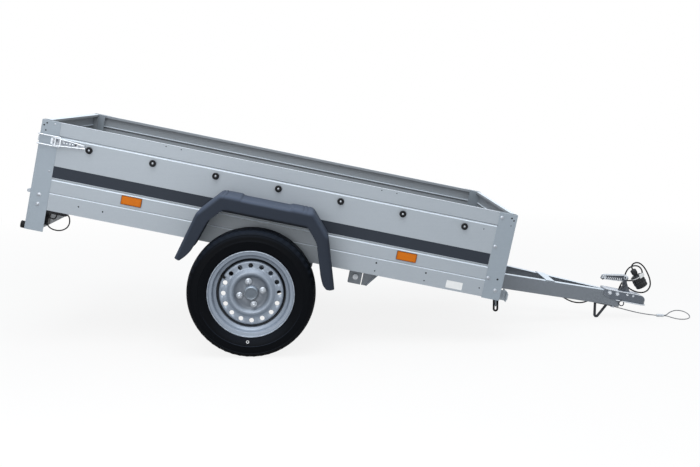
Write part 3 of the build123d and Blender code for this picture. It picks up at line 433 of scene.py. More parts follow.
def useGroup(tree, group, **values):
    node = addNode(tree, "ShaderNodeGroup", node_tree=group)
    for key, value in values.items():
        socket = node.inputs[key.replace("_", " ")]
        if isinstance(value, bpy.types.NodeSocket):
            tree.links.new(value, socket)
        elif isinstance(value, tuple):
            socket.default_value = (*value, 1.0)
        else:
            socket.default_value = value
    return node


def newMaterial(name, metallic=0.0, **sockets):
    material = bpy.data.materials.new(name)
    material.use_nodes = True
    tree = material.node_tree
    shader = tree.nodes["Principled BSDF"]
    shader.inputs["Metallic"].default_value = metallic
    for key, value in sockets.items():
        shader.inputs[key.replace("_", " ")].default_value = value
    return material, tree, shader


def bumpFrom(tree, shader, height, strength, distance):
    bump = setInputs(addNode(tree, "ShaderNodeBump"), Strength=strength, Distance=distance)
    tree.links.new(height, bump.inputs["Height"])
    tree.links.new(bump.outputs[0], shader.inputs["Normal"])


def zincMaterial(name, colour, edge, crease, crystal, contrast, cloud, roughness, metallic, dust=0.05,
                 wearAndShade=0.5, upward=0.25, downward=0.2, paintedWheelShade=None, **sockets):
    # the wheel's painted shade gives the dish's reach and the painted shades of the dish and of the ring at
    # the rim's joint
    # upward and downward paint sky light on faces that look up and shade on faces that look down
    material, tree, shader = newMaterial(name, metallic, **sockets)
    skin = useGroup(tree, zincSkin, Colour=colour, Crystal_Size=crystal, Crystal_Contrast=contrast,
                    Cloud_Contrast=cloud, Roughness=roughness)
    skyLit = useGroup(tree, paintedSkyLight, Colour=skin.outputs["Colour"], Upward=upward, Downward=downward)
    # edge wear and painted highlight on ridges, painted shade in creases
    wornAndShaded = useGroup(tree, edgeWearAndShade, Colour=skyLit.outputs["Colour"], Edge_Colour=edge, Crease_Colour=crease,
                    Amount=wearAndShade)
    dusty = useGroup(tree, roadDust, Colour=wornAndShaded.outputs["Colour"], Amount=dust,
                     Roughness=skin.outputs["Roughness"])
    finish = dusty
    if paintedWheelShade:
        reach, dish, ring = paintedWheelShade
        finish = useGroup(tree, wheelPaintedShade, Colour=dusty.outputs["Colour"], Dish_Reach=reach, Dish_Shade=dish,
                          Ring_Shade=ring)
    tree.links.new(finish.outputs["Colour"], shader.inputs["Base Color"])
    tree.links.new(dusty.outputs["Roughness"], shader.inputs["Roughness"])
    bumpFrom(tree, shader, skin.outputs["Height"], 0.02, 0.0002)
    return material


def mouldedMaterial(name, colour, edge, grain, strength, roughness, dust=0.1, fade=0.2, wearAndShade=0.4, upward=0.0,
                    **sockets):
    # upward paints sky light on faces that look up, and faces that look down are painted darker as if in
    # shade
    material, tree, shader = newMaterial(name, **sockets)
    skin = useGroup(tree, mouldedGrain, Colour=colour, Grain_Size=grain, Fade=fade, Roughness=roughness)
    skyLit = useGroup(tree, paintedSkyLight, Colour=skin.outputs["Colour"], Upward=upward, Downward=0.3)
    # a darker copy of the colour for the painted shade in creases
    dark = tuple(value * 0.45 for value in colour)
    wornAndShaded = useGroup(tree, edgeWearAndShade, Colour=skyLit.outputs["Colour"], Edge_Colour=edge, Crease_Colour=dark,
                    Amount=wearAndShade)
    dusty = useGroup(tree, roadDust, Colour=wornAndShaded.outputs["Colour"], Amount=dust,
                     Roughness=skin.outputs["Roughness"])
    tree.links.new(dusty.outputs["Colour"], shader.inputs["Base Color"])
    tree.links.new(dusty.outputs["Roughness"], shader.inputs["Roughness"])
    bumpFrom(tree, shader, skin.outputs["Height"], strength, grain * 0.4)
    return material


def lensMaterial(name, colour, pitch, depth):
    material, tree, shader = newMaterial(name, Roughness=0.35, Coat_Weight=0.08, Coat_Roughness=0.1,
                                         Specular_IOR_Level=0.12)
    prisms = useGroup(tree, lensPrisms, Colour=colour, Pitch=pitch, Depth=depth)
    tree.links.new(prisms.outputs["Colour"], shader.inputs["Base Color"])
    bumpFrom(tree, shader, prisms.outputs["Height"], 0.35, 0.0008)
    return material


def boardMaterial(name, colour, mesh):
    material, tree, shader = newMaterial(name, Roughness=0.5, Specular_IOR_Level=0.3)
    film = useGroup(tree, boardMesh, Colour=colour, Mesh_Size=mesh)
    dusty = useGroup(tree, roadDust, Colour=film.outputs["Colour"], Amount=0.3, Roughness=0.45)
    tree.links.new(dusty.outputs["Colour"], shader.inputs["Base Color"])
    tree.links.new(dusty.outputs["Roughness"], shader.inputs["Roughness"])
    bumpFrom(tree, shader, film.outputs["Height"], 0.6, 0.0006)
    return material


# in these, upward and downward paint sky light on faces that look up and shade on faces that look down
materials = {  # one for each slot of the frame
    "galvanised_sheet": zincMaterial(
        "galvanisedSheet", colour=(0.296, 0.330, 0.366), edge=(0.62, 0.66, 0.70), crease=(0.10, 0.12, 0.14),
        crystal=0.007, contrast=0.03, cloud=0.05, roughness=0.50, metallic=0.08, dust=0.0, wearAndShade=0.0,
        upward=2.0, downward=0.7),
    "galvanised_heavy": zincMaterial(
        "galvanisedHeavy", colour=(0.160, 0.180, 0.205), edge=(0.50, 0.54, 0.59), crease=(0.05, 0.06, 0.07),
        crystal=0.012, contrast=0.04, cloud=0.08, roughness=0.46, metallic=0.20, dust=0.01, wearAndShade=0.12,
        upward=4.4),
    "zinc": zincMaterial(
        "zincPlate", colour=(0.30, 0.33, 0.37), edge=(0.8, 0.82, 0.84), crease=(0.05, 0.06, 0.07),
        crystal=0.003, contrast=0.08, cloud=0.15, roughness=0.30, metallic=0.45, dust=0.02, wearAndShade=0.7,
        upward=1.2, downward=0.5),
    "dark_steel": zincMaterial(
        "darkSteel", colour=(0.030, 0.033, 0.040), edge=(0.14, 0.15, 0.16), crease=(0.01, 0.01, 0.012),
        crystal=0.003, contrast=0.10, cloud=0.20, roughness=0.42, metallic=0.1, dust=0.02, upward=1.0,
        Specular_IOR_Level=0.2),
    "rim_paint": zincMaterial(
        "rimSilver", colour=(0.182, 0.216, 0.265), edge=(0.55, 0.60, 0.67), crease=(0.020, 0.025, 0.032),
        crystal=0.0012, contrast=0.04, cloud=0.05, roughness=0.38, metallic=0.30, dust=0.01, wearAndShade=0.8,
        upward=0.8, downward=0.4, paintedWheelShade=(0.078, 0.52, 0.85)),
    "steel_cable": zincMaterial(
        "wireRope", colour=(0.095, 0.105, 0.120), edge=(0.5, 0.5, 0.5), crease=(0.02, 0.02, 0.02),
        crystal=0.002, contrast=0.3, cloud=0.2, roughness=0.38, metallic=0.5, dust=0.02, upward=1.0),
    "plywood": boardMaterial("filmFacedPly", colour=(0.055, 0.036, 0.026), mesh=0.007),
    "guard_plastic": mouldedMaterial(
        "guardPlastic", colour=(0.021, 0.0265, 0.038), edge=(0.07, 0.08, 0.10), grain=0.0012, strength=0.15,
        roughness=0.62, dust=0.01, fade=0.10, upward=3.2, Specular_IOR_Level=0.07),
    # the tyre's strong upward paints a sky sheen on the upper part of its bulge
    "tyre": mouldedMaterial(
        "tyreRubber", colour=(0.0018, 0.0024, 0.0036), edge=(0.012, 0.013, 0.016), grain=0.0015,
        strength=0.12, roughness=0.52, dust=0.002, fade=0.25, upward=9.0, Specular_IOR_Level=0.04),
    "black_plastic": mouldedMaterial(
        "blackPlastic", colour=(0.0060, 0.0068, 0.0082), edge=(0.07, 0.07, 0.075), grain=0.0012,
        strength=0.15, roughness=0.42, dust=0.01, upward=2.5, Specular_IOR_Level=0.10),
    "black_rubber": mouldedMaterial(
        "blackRubber", colour=(0.0070, 0.0072, 0.0082), edge=(0.03, 0.03, 0.03), grain=0.0012, strength=0.12,
        roughness=0.55, dust=0.02, upward=1.5, Specular_IOR_Level=0.08),
    "amber_lens": lensMaterial("amberLens", colour=(0.60, 0.150, 0.0002), pitch=0.004, depth=0.6),
    "red_lens": lensMaterial("redLens", colour=(0.36, 0.004, 0.004), pitch=0.006, depth=0.4),
    "white_lens": lensMaterial("whiteLens", colour=(0.58, 0.61, 0.64), pitch=0.004, depth=0.3),
    "plate_blank": mouldedMaterial(
        "blankPlate", colour=(0.66, 0.67, 0.67), edge=(0.8, 0.8, 0.8), grain=0.004, strength=0.02,
        roughness=0.4, dust=0.04, Specular_IOR_Level=0.2),
}
pieceFinishes = {  # pieces whose tone or gloss differs from the rest of their slot
    "stripeFilm": mouldedMaterial(
        "stripeFilm", colour=(0.030, 0.036, 0.047), edge=(0.08, 0.09, 0.10), grain=0.004, strength=0.02,
        roughness=0.5, dust=0.0, fade=0.04, wearAndShade=0.0, Specular_IOR_Level=0.06),
    "postSheet": zincMaterial(
        "postSheet", colour=(0.238, 0.278, 0.318), edge=(0.60, 0.64, 0.68), crease=(0.08, 0.10, 0.12),
        crystal=0.007, contrast=0.03, cloud=0.05, roughness=0.50, metallic=0.08, dust=0.0, wearAndShade=0.0,
        upward=2.0, downward=0.7),
    "pressedZinc": zincMaterial(
        "pressedZinc", colour=(0.105, 0.122, 0.148), edge=(0.70, 0.72, 0.75), crease=(0.02, 0.025, 0.03),
        crystal=0.003, contrast=0.12, cloud=0.25, roughness=0.30, metallic=0.45, dust=0.02, wearAndShade=0.9,
        upward=4.5, downward=0.4),
    "hubSteel": zincMaterial(
        "hubSteel", colour=(0.092, 0.112, 0.136), edge=(0.55, 0.58, 0.62), crease=(0.02, 0.025, 0.03),
        crystal=0.002, contrast=0.06, cloud=0.10, roughness=0.30, metallic=0.45, dust=0.02, wearAndShade=0.9,
        upward=4.0, downward=0.4),
    "leverZinc": zincMaterial(
        "leverZinc", colour=(0.050, 0.058, 0.072), edge=(0.60, 0.62, 0.66), crease=(0.012, 0.014, 0.018),
        crystal=0.003, contrast=0.15, cloud=0.25, roughness=0.32, metallic=0.4, dust=0.0, wearAndShade=0.9,
        upward=4.0, downward=0.5),
    # bright zinc plating, made lighter still than the zinc slot so that rails, wires, bolts, beads and
    # dimples carry painted highlights
    "brightZincAndHighlight": zincMaterial(
        "brightZincAndHighlight", colour=(0.56, 0.60, 0.65), edge=(0.85, 0.87, 0.90), crease=(0.03, 0.035, 0.04),
        crystal=0.002, contrast=0.10, cloud=0.12, roughness=0.26, metallic=0.35, dust=0.0, wearAndShade=0.9,
        upward=0.6, downward=0.75),
    "plugPlastic": mouldedMaterial(
        "plugPlastic", colour=(0.0075, 0.0085, 0.0100), edge=(0.09, 0.09, 0.10), grain=0.0012, strength=0.10,
        roughness=0.34, dust=0.0, wearAndShade=0.8, upward=3.0, Specular_IOR_Level=0.30),
}
# the latch bails take the lighter zinc that paints their highlights
nodeFinishes = {
    "rear_posts": "postSheet", "front_posts": "postSheet", "coupling_head": "pressedZinc",
    "coupling_handle": "leverZinc", "latch_bails": "brightZincAndHighlight",
}
print("materials made:", len(materials) + len(pieceFinishes))


def roundEdges(piece, width):
    modifier = piece.modifiers.new("roundedEdges", "BEVEL")
    modifier.width, modifier.segments = width, 2
    modifier.limit_method, modifier.angle_limit = "ANGLE", math.radians(30)


def addPiece(name, shape, body, slot, replaced=(), bevel=0.0, smoothAngle=35, finish=None):
    # makes the level shape in millimetres into a piece of the parked trailer
    mesh = bpy.data.meshes.new(name)
    bmesh.ops.remove_doubles(shape, verts=shape.verts, dist=0.002)
    bmesh.ops.recalc_face_normals(shape, faces=shape.faces)
    shape.to_mesh(mesh)
    shape.free()
    mesh.transform(mmToRow)
    piece = bpy.data.objects.new(name, mesh)
    bpy.context.scene.collection.objects.link(piece)
    mesh.materials.append(pieceFinishes[finish] if finish else materials[slot])
    mesh.shade_smooth()
    if bevel:
        roundEdges(piece, bevel)
        piece.modifiers.new("evenShading", "WEIGHTED_NORMAL").keep_sharp = True
    else:
        mesh.set_sharp_from_angle(angle=math.radians(smoothAngle))
    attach(piece, body)
    if replaced:
        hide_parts(*replaced)
    return piece


def lathe(mesh, profile, centre, axis, segments=64, start=0.0, closed=False):
    # profile of (along, radius) turned about axis; along 0 lies at centre
    turnAxis = Vector(axis).normalized()
    side = turnAxis.orthogonal().normalized()
    if abs(turnAxis.y) > 0.99:
        side = Vector((1, 0, 0))
    other = turnAxis.cross(side)
    rings = []
    for along, radius in profile:
        middle = Vector(centre) + turnAxis * along
        if radius < 1e-6:
            rings.append([mesh.verts.new(middle)])
            continue
        angles = [start + 2 * math.pi * step / segments for step in range(segments)]
        rings.append([mesh.verts.new(middle + (side * math.cos(angle) + other * math.sin(angle)) * radius)
                      for angle in angles])
    pairs = list(zip(rings, rings[1:]))
    if closed:
        pairs.append((rings[-1], rings[0]))
    for first, second in pairs:
        for step in range(segments):
            follow = (step + 1) % segments
            corners = [first[step % len(first)], first[follow % len(first)],
                       second[follow % len(second)], second[step % len(second)]]
            corners = list(dict.fromkeys(corners))
            if len(corners) > 2:
                mesh.faces.new(corners)
    return rings


def joinRings(mesh, rings):
    # walls of four-sided faces between rings of as many points each
    for first, second in zip(rings, rings[1:]):
        for step in range(len(first)):
            follow = (step + 1) % len(first)
            mesh.faces.new((first[step], first[follow], second[follow], second[step]))


def prism(mesh, outline, low, high, place):
    # outline of pairs between two depths; place(a, b, depth) gives the point in level millimetres
    ends = [[mesh.verts.new(place(a, b, depth)) for a, b in outline] for depth in (low, high)]
    mesh.faces.new(ends[0])
    mesh.faces.new(ends[1][::-1])
    joinRings(mesh, ends)


def roundedOutline(left, right, low, high, radius, steps=5):
    corners = ((right - radius, high - radius, 0), (left + radius, high - radius, 90),
               (left + radius, low + radius, 180), (right - radius, low + radius, 270))
    outline = []
    for a, b, quarter in corners:
        for step in range(steps + 1):
            angle = math.radians(quarter + 90 * step / steps)
            outline.append((a + radius * math.cos(angle), b + radius * math.sin(angle)))
    return outline


def sideways(a, b, depth):
    return Vector((a, depth, b))


def crossways(a, b, depth):
    return Vector((depth, a, b))


roundedNodes = {  # bevel width in metres
    "front_wall": 0.0008, "tailgate_panel": 0.0008, "floor_panel": 0.0008, "cross_members": 0.0015,
    "axle_tube": 0.003, "axle_brackets": 0.0012, "swing_arms": 0.002, "pivot_hangers": 0.0015,
    "sill_hinges": 0.0006, "gate_hinges": 0.0006, "gate_hooks": 0.0006, "drawbar_beams": 0.0022,
    "drawbar_crossbar": 0.0015, "drawbar_strap": 0.0008, "coupling_head": 0.0015, "coupling_handle": 0.0012,
    "lamp_bar": 0.0008, "marker_brackets": 0.0006, "tilt_lock": 0.0008, "cable_ducts": 0.0012,
    "licence_plate": 0.0003, "safety_clip": 0.0006,
}
for name, node in nodes.items():
    node.data.materials.clear()
    finish = nodeFinishes.get(name)
    node.data.materials.append(pieceFinishes[finish] if finish else materials[slotOfNode[name]])
    node.data.shade_smooth()
    node.modifiers.new("weld", "WELD").merge_threshold = 0.00001
    if name in roundedNodes:
        roundEdges(node, roundedNodes[name])
    else:
        node.modifiers.new("crispEdges", "EDGE_SPLIT").split_angle = math.radians(28)
    node.modifiers.new("evenShading", "WEIGHTED_NORMAL")
print("frame nodes finished")


towPiece = laidCable(towRoute, towCable, "drawbar", materials["black_rubber"])
laidCable(drawbarRoute, drawbarCable, "drawbar", materials["black_rubber"])
for route, facts in lampRoutes:
    laidCable(route, facts, "bed", materials["black_rubber"])


wireRope = {"strands": 6, "strandRadius": 0.88, "pitch": 26.0, "sides": 6, "step": 2.2}


def evenLine(line, step):
    # the same line with points a step apart
    lengths = [0.0]
    for first, second in zip(line, line[1:]):
        lengths.append(lengths[-1] + (second - first).length)
    count = max(8, round(lengths[-1] / step))
    even, index = [], 0
    for number in range(count + 1):
        reach = lengths[-1] * number / count
        while index < len(line) - 2 and lengths[index + 1] < reach:
            index += 1
        part = (reach - lengths[index]) / max(lengths[index + 1] - lengths[index], 1e-9)
        even.append(line[index].lerp(line[index + 1], part))
    return even, lengths[-1] / count


def framesAlong(centres):
    # each point with two directions across the line, which follow it without twisting
    frames, across = [], None
    for index, centre in enumerate(centres):
        ahead = (centres[min(index + 1, len(centres) - 1)] - centres[max(index - 1, 0)]).normalized()
        across = (across or ahead.orthogonal()) - ahead * ahead.dot(across or ahead.orthogonal())
        across.normalize()
        frames.append((centre, across.copy(), ahead.cross(across)))
    return frames


def tubeAlong(mesh, centres, radius, sides):
    angles = [2 * math.pi * step / sides for step in range(sides)]
    rings = [[mesh.verts.new(centre + (across * math.cos(angle) + other * math.sin(angle)) * radius)
              for angle in angles] for centre, across, other in framesAlong(centres)]
    joinRings(mesh, rings)
    mesh.faces.new(rings[0][::-1])
    mesh.faces.new(rings[-1])


def ropeStrands(name, line, facts):
    # lays the strands of a wire rope round a line, as one piece that replaces the facts' node
    centres, step = evenLine(line, wireRope["step"])
    layRadius = facts["radius"] - wireRope["strandRadius"]
    mesh = bmesh.new()
    tubeAlong(mesh, centres, layRadius - wireRope["strandRadius"] * 0.4, 8)  # the rope's core
    for strand in range(wireRope["strands"]):
        helix = []
        for index, (centre, across, other) in enumerate(framesAlong(centres)):
            angle = 2 * math.pi * (strand / wireRope["strands"] + index * step / wireRope["pitch"])
            helix.append(centre + (across * math.cos(angle) + other * math.sin(angle)) * layRadius)
        tubeAlong(mesh, helix, wireRope["strandRadius"], wireRope["sides"])
    piece = addPiece(name, mesh, "drawbar", "steel_cable", (facts["node"],), smoothAngle=60)
    return piece, [mmToRow @ centre for centre in centres]


safetyPiece, safetyPath = ropeStrands("safetyCable", safetyLine, safetyCable)
eyePiece, eyePath = ropeStrands("safetyEye", eyeLine, safetyEye)
print("cables laid")


stripe = {"rear": 80.0, "front": 2008.0, "low": 144.0, "high": 194.0, "thickness": 0.15}
label = {"rear": 1844.0, "front": 1917.0, "low": 9.0, "high": 42.0, "thickness": 0.2}
mesh = bmesh.new()
for side in sides:
    prism(mesh, [(stripe["rear"], stripe["low"]), (stripe["front"], stripe["low"]),
                 (stripe["front"], stripe["high"]), (stripe["rear"], stripe["high"])],
          side * (trailer["wallFace"] + stripe["thickness"]), side * trailer["wallFace"], sideways)
addPiece("sideStripes", mesh, "bed", "black_plastic", finish="stripeFilm")
mesh = bmesh.new()
prism(mesh, roundedOutline(label["rear"], label["front"], label["low"], label["high"], 2.0),
      -trailer["wallFace"] - label["thickness"], -trailer["wallFace"], sideways)
addPiece("blankLabel", mesh, "bed", "plate_blank")

punched = {  # x, height, radius of the holes in the side walls and in the posts
    "walls": ((212.0, 41.0, 3.5), (317.0, 40.0, 3.5), (1524.0, 55.0, 4.0), (1524.0, 19.0, 3.0),
              (1747.0, 54.0, 4.0), (1746.0, 19.0, 3.0), (1992.0, 35.0, 3.0), (1955.0, 295.0, 2.5),
              (534.0, 372.0, 2.5), (600.0, 372.0, 2.5), (1482.0, 372.0, 2.5), (1549.0, 372.0, 2.5)),
    "posts": ((11.0, 360.0, 3.5), (22.0, 370.0, 3.5), (21.0, 339.0, 3.5), (2063.0, 88.0, 4.5),
              (2066.0, 365.0, 4.0), (2077.0, 356.0, 3.5), (2069.0, 332.0, 2.5)),
    "recess": 0.4, "sheet": 0.6,
}
# painted shade: a thin dark disc set a little inside each punched hole stands for the shade in the hole
mesh = bmesh.new()
front, back = -punched["recess"], -punched["recess"] - punched["sheet"]
for side in sides:
    for face, places in ((trailer["wallFace"], punched["walls"]), (trailer["half"], punched["posts"])):
        for x, z, radius in places:
            lathe(mesh, ((back, 0), (back, radius), (front, radius), (front, 0)), (x, side * face, z),
                  (0, side, 0), 20)
addPiece("holeShadeDiscs", mesh, "bed", "black_rubber")

postBolts = {
    "bolts": ((38.0, 61.0), (39.0, 20.0), (2022.0, 360.0), (2020.0, 229.0), (2020.0, 87.0), (2063.0, 38.0)),
    "rivets": ((64.0, 169.0), (56.0, 371.0)),
    "bolt": ((0, 9.0), (1.4, 9.0), (1.6, 7.6), (2.6, 7.2), (4.2, 5.6), (5.2, 3.2), (5.5, 0)),
    "rivet": ((0, 4.2), (0.8, 4.0), (1.7, 2.8), (2.1, 0)),
}
mesh = bmesh.new()
for side in sides:
    for kind, places in (("bolt", postBolts["bolts"]), ("rivet", postBolts["rivets"])):
        for x, z in places:
            lathe(mesh, postBolts[kind], (x, side * trailer["half"], z), (0, side, 0), 20)
addPiece("postBolts", mesh, "bed", "zinc", smoothAngle=50)

coverKnob = {
    "height": 290.0, "sides": (217.0, 492.0, 766.0, 1041.0, 1316.0, 1592.0, 1868.0),
    "ends": (-350.0, 0.0, 350.0), "frontFace": 2088.0,
    "profile": ((0, 12.0), (1.0, 12.0), (2.6, 8.6), (4.0, 8.0), (7.6, 8.0), (9.4, 13.8), (10.4, 15.0),
                (12.2, 15.0), (13.4, 14.2), (14.6, 12.2), (15.0, 10.8), (15.0, 7.4), (14.4, 6.6), (12.8, 6.2),
                (12.8, 0)),
    "screw": ((12.7, 4.6), (13.6, 4.3), (14.5, 2.8), (14.8, 0)),
}


def knobSet(name, places, body, node):
    # places are pairs of a point on the sheet and the way that its knob faces
    caps, screws = bmesh.new(), bmesh.new()
    for place, way in places:
        lathe(caps, coverKnob["profile"], place, way, 32)
        lathe(screws, coverKnob["screw"], place, way, 12)
    addPiece(name, caps, body, "black_plastic", (node,), smoothAngle=40)
    addPiece(name + "Screws", screws, body, "zinc", smoothAngle=60)


height = coverKnob["height"]
sideKnobs = [((x, side * trailer["wallFace"], height), (0, side, 0))
             for x in coverKnob["sides"] for side in sides]
frontKnobs = [((coverKnob["frontFace"], y, height), (1, 0, 0)) for y in coverKnob["ends"]]
knobSet("coverKnobs", sideKnobs + frontKnobs, "bed", "cover_knobs")
knobSet("gateKnobs", [((0.0, y, height), (-1, 0, 0)) for y in coverKnob["ends"]], "tailgate", "gate_knobs")
print("walls and posts dressed")


tyre = {
    "segments": 216, "crown": 273.5, "shoulder": 63.5, "shoulderRadius": 269.0,
    "groovesAt": (47.0, 18.0), "grooveHalf": 3.6, "grooveDepth": 6.5,
    "lugEvery": 4, "lugGroove": 2, "lugDepth": 2.6, "lugFrom": 52.0, "lugEdge": 262.0, "lugFoot": 255.0,
    "rib": (22.0, 43.0), "ribEvery": 8,
    "bead": ((57.4, 167.3), (57.8, 181.4), (60.4, 184.6), (63.6, 186.4), (66.0, 187.0), (67.0, 189.4),
             (69.4, 197.0), (72.6, 207.0), (75.2, 216.0), (76.2, 221.4), (78.2, 223.4), (78.3, 226.0)),
    "side": ((77.2, 228.4), (77.2, 237.0), (75.8, 246.0), (73.6, 252.0), (74.4, 254.0), (71.0, 261.0),
             (67.4, 265.6)),
    "inner": ((44.0, 167.3), (46.0, 183.0), (60.0, 200.0), (71.5, 222.0), (69.5, 238.0), (55.5, 258.0),
              (0.0, 262.5)),
}


def wheelPlaces(side):
    # a wheel's centre, the way it faces and two directions across it
    facing = Vector((0, side, 0))
    across = Vector((1, 0, 0))
    return (Vector((trailer["wheelX"], side * trailer["wheelPlane"], trailer["wheelZ"])), facing,
            across, facing.cross(across))


def treadRadius(along):
    part = min(abs(along) / tyre["shoulder"], 1.0)
    return tyre["crown"] + (tyre["shoulderRadius"] - tyre["crown"]) * part ** 3


def tyreMesh(side):
    edge, tread = tyre["shoulder"], []
    stations = [edge, edge - 5.0, edge - 10.0]
    for groove in tyre["groovesAt"]:
        reach, floor = tyre["grooveHalf"], treadRadius(groove) - tyre["grooveDepth"]
        stations += [groove + reach + 1.2, groove + reach]
        tread += [(along, treadRadius(along)) for along in stations]
        tread += [(groove + reach - 1.0, floor), (groove - reach + 1.0, floor)]
        stations = [groove - reach, groove - reach - 1.2, groove - 12.0]
    tread += [(along, treadRadius(along)) for along in stations]
    outer = list(tyre["bead"]) + list(tyre["side"]) + tread
    section = outer + [(0.0, treadRadius(0.0))] + [(-along, radius) for along, radius in outer[::-1]]
    inner = tyre["inner"]
    hollow = [(-along, radius) for along, radius in inner[:-1]] + [inner[-1]] + list(inner[:-1][::-1])
    mesh = bmesh.new()
    centre, facing = wheelPlaces(side)[:2]
    rings = lathe(mesh, section + hollow, centre, facing, tyre["segments"], closed=True)
    # crosswise grooves in the shoulder blocks, and finer ones half a pitch on in the ribs
    nearRib, farRib = tyre["rib"]
    for ring, (along, radius) in zip(rings, section):
        if radius < tyre["lugFoot"]:
            continue
        depth = tyre["lugDepth"] * (1.0 if radius > tyre["lugEdge"] else 0.45)
        for step, vertex in enumerate(ring):
            phase = (step + (2 if along < 0 else 0)) % tyre["lugEvery"]
            lug = abs(along) > tyre["lugFrom"] and phase < tyre["lugGroove"]
            sipe = nearRib < abs(along) < farRib and (step + 2) % tyre["ribEvery"] < 1
            if lug or sipe:
                middle = Vector((centre.x, vertex.co.y, centre.z))
                vertex.co = middle + (vertex.co - middle) * (1 - depth / radius)
    return mesh


rim = {  # profiles are pairs of a place along the axle and a radius
    "sectors": 16, "sectorSteps": 8, "ventCircle": 118.0, "ventRadius": 10.0, "ventRound": 1.2,
    "face": 34.0, "flat": (105.0, 130.5), "sheet": 3.6,
    "barrel": ((70.2, 180.6), (70.8, 182.6), (69.4, 184.6), (66.0, 185.4), (61.2, 184.4), (58.4, 180.8),
               (57.0, 171.0), (54.0, 167.2), (38.0, 165.0), (34.4, 162.4), (30.6, 152.0), (28.0, 149.4),
               (-5.0, 149.0), (-9.0, 151.0), (-19.0, 163.0), (-23.0, 165.2), (-54.0, 167.2), (-57.0, 171.0),
               (-59.0, 182.0), (-61.0, 184.6), (-68.0, 185.2), (-70.0, 182.0), (-62.6, 179.4), (-60.6, 168.0),
               (-56.0, 163.8), (-24.0, 162.2), (-18.0, 159.0), (-8.0, 147.4), (-3.0, 146.0), (26.0, 146.2),
               (32.4, 149.0), (37.4, 160.0), (41.0, 162.2), (56.4, 163.6), (60.2, 167.0), (61.8, 178.6),
               (64.6, 181.0)),
    "outerDisc": ((34.0, 130.5), (33.4, 133.6), (31.2, 136.4), (26.0, 138.6), (14.0, 139.6), (5.0, 140.2),
                  (2.0, 143.0), (2.0, 147.0)),
    "outerBack": ((-1.6, 147.0), (-1.6, 140.4), (1.4, 137.6), (10.4, 137.0), (22.4, 136.0), (27.6, 136.4),
                  (29.8, 133.6), (30.4, 130.5)),
    "innerDisc": ((34.0, 105.0), (35.4, 101.6), (39.6, 95.6), (42.0, 91.6), (43.2, 87.0), (42.6, 82.6),
                  (40.0, 78.4), (34.0, 71.6), (31.4, 68.0), (30.2, 63.0), (30.0, 58.0), (30.0, 31.4)),
}


def rimMesh(side):
    mesh = bmesh.new()
    centre, facing, across, other = wheelPlaces(side)
    steps, thick = rim["sectorSteps"], rim["sheet"]
    count = rim["sectors"] * steps
    start, half = parkedTilt + math.pi / 2, math.pi / rim["sectors"]
    lathe(mesh, rim["barrel"], centre, facing, count, closed=True)
    innerBack = tuple((along - thick, radius) for along, radius in rim["innerDisc"][::-1])
    lathe(mesh, rim["innerDisc"] + innerBack, centre, facing, count, start - half)
    lathe(mesh, rim["outerDisc"] + rim["outerBack"], centre, facing, count, start - half)
    # the flat band: each sector runs from its hole's edge out to the sector's edge
    inside, outside = rim["flat"]
    for sector in range(rim["sectors"]):
        middle = start + 2 * half * sector
        edge = [(outside, -half + 2 * half * step / steps) for step in range(steps + 1)]
        edge += [(outside + (inside - outside) * step / 4, half) for step in range(1, 4)]
        edge += [(inside, half - 2 * half * step / steps) for step in range(steps + 1)]
        edge += [(inside + (outside - inside) * step / 4, -half) for step in range(1, 4)]
        hole = Vector((rim["ventCircle"] * math.cos(middle), rim["ventCircle"] * math.sin(middle)))
        spokes = []
        for radius, angle in edge:
            point = Vector((radius * math.cos(middle + angle), radius * math.sin(middle + angle)))
            way = (point - hole).normalized()
            mouth, wall = hole + way * (rim["ventRadius"] + rim["ventRound"]), hole + way * rim["ventRadius"]
            spoke = ((point, rim["face"]), (mouth, rim["face"]), (wall, rim["face"] - 1.0),
                     (wall, rim["face"] - thick - 3.0), (point, rim["face"] - thick))
            spokes.append([mesh.verts.new(centre + across * spot.x + other * spot.y + facing * depth)
                           for spot, depth in spoke])
        joinRings(mesh, list(zip(*spokes)))
    return mesh


hub = {
    "shell": ((-38.5, 15.2), (-38.5, 32.0), (-36.5, 33.0), (8.0, 33.0), (20.0, 61.0), (22.0, 62.0),
              (29.9, 62.0), (29.9, 30.8), (42.0, 30.6), (46.0, 29.8), (48.6, 27.4), (49.8, 24.6),
              (49.2, 22.6), (49.4, 14.0), (49.6, 0)),
    "studs": 4, "studCircle": 50.0, "studTurn": 12.0, "stud": ((29.9, 6.0), (34.2, 6.0)),
    "seat": ((33.8, 14.6), (35.2, 14.8), (37.0, 13.0), (38.0, 11.6), (38.0, 6.0)),
    "nut": ((37.0, 10.6), (45.6, 10.6), (47.8, 8.6), (47.8, 6.0)), "nutTurn": 0.35,
    "cap": ((46.0, 7.8), (48.6, 7.0), (50.0, 4.6), (50.4, 0)),
}


def hubMesh(side):
    mesh, nuts = bmesh.new(), bmesh.new()
    centre, facing, across, other = wheelPlaces(side)
    lathe(mesh, hub["shell"], centre, facing, 48)
    for stud in range(hub["studs"]):
        angle = parkedTilt + math.radians(hub["studTurn"]) + 2 * math.pi * stud / hub["studs"]
        foot = centre + (across * math.cos(angle) + other * math.sin(angle)) * hub["studCircle"]
        lathe(mesh, hub["stud"], foot, facing, 12)
        lathe(nuts, hub["seat"], foot, facing, 24)
        lathe(nuts, hub["nut"], foot, facing, 6, hub["nutTurn"] + stud)
        lathe(nuts, hub["cap"], foot, facing, 16)
    return mesh, nuts


valve = {
    "radius": 147.0, "turn": 148.0, "lift": 22.0, "lean": -0.62,
    "profile": ((-8.0, 6.4), (3.0, 6.0), (7.0, 4.4), (22.0, 4.2), (22.5, 5.2), (33.0, 5.2), (34.5, 4.0),
                (34.5, 0)),
}
ringMark = {
    "radius": 203.7, "turn": -94.3, "lift": 71.6, "lean": -0.32,
    "profile": ((0, 6.4), (0.5, 6.2), (0.5, 4.0), (0, 3.8)),
}


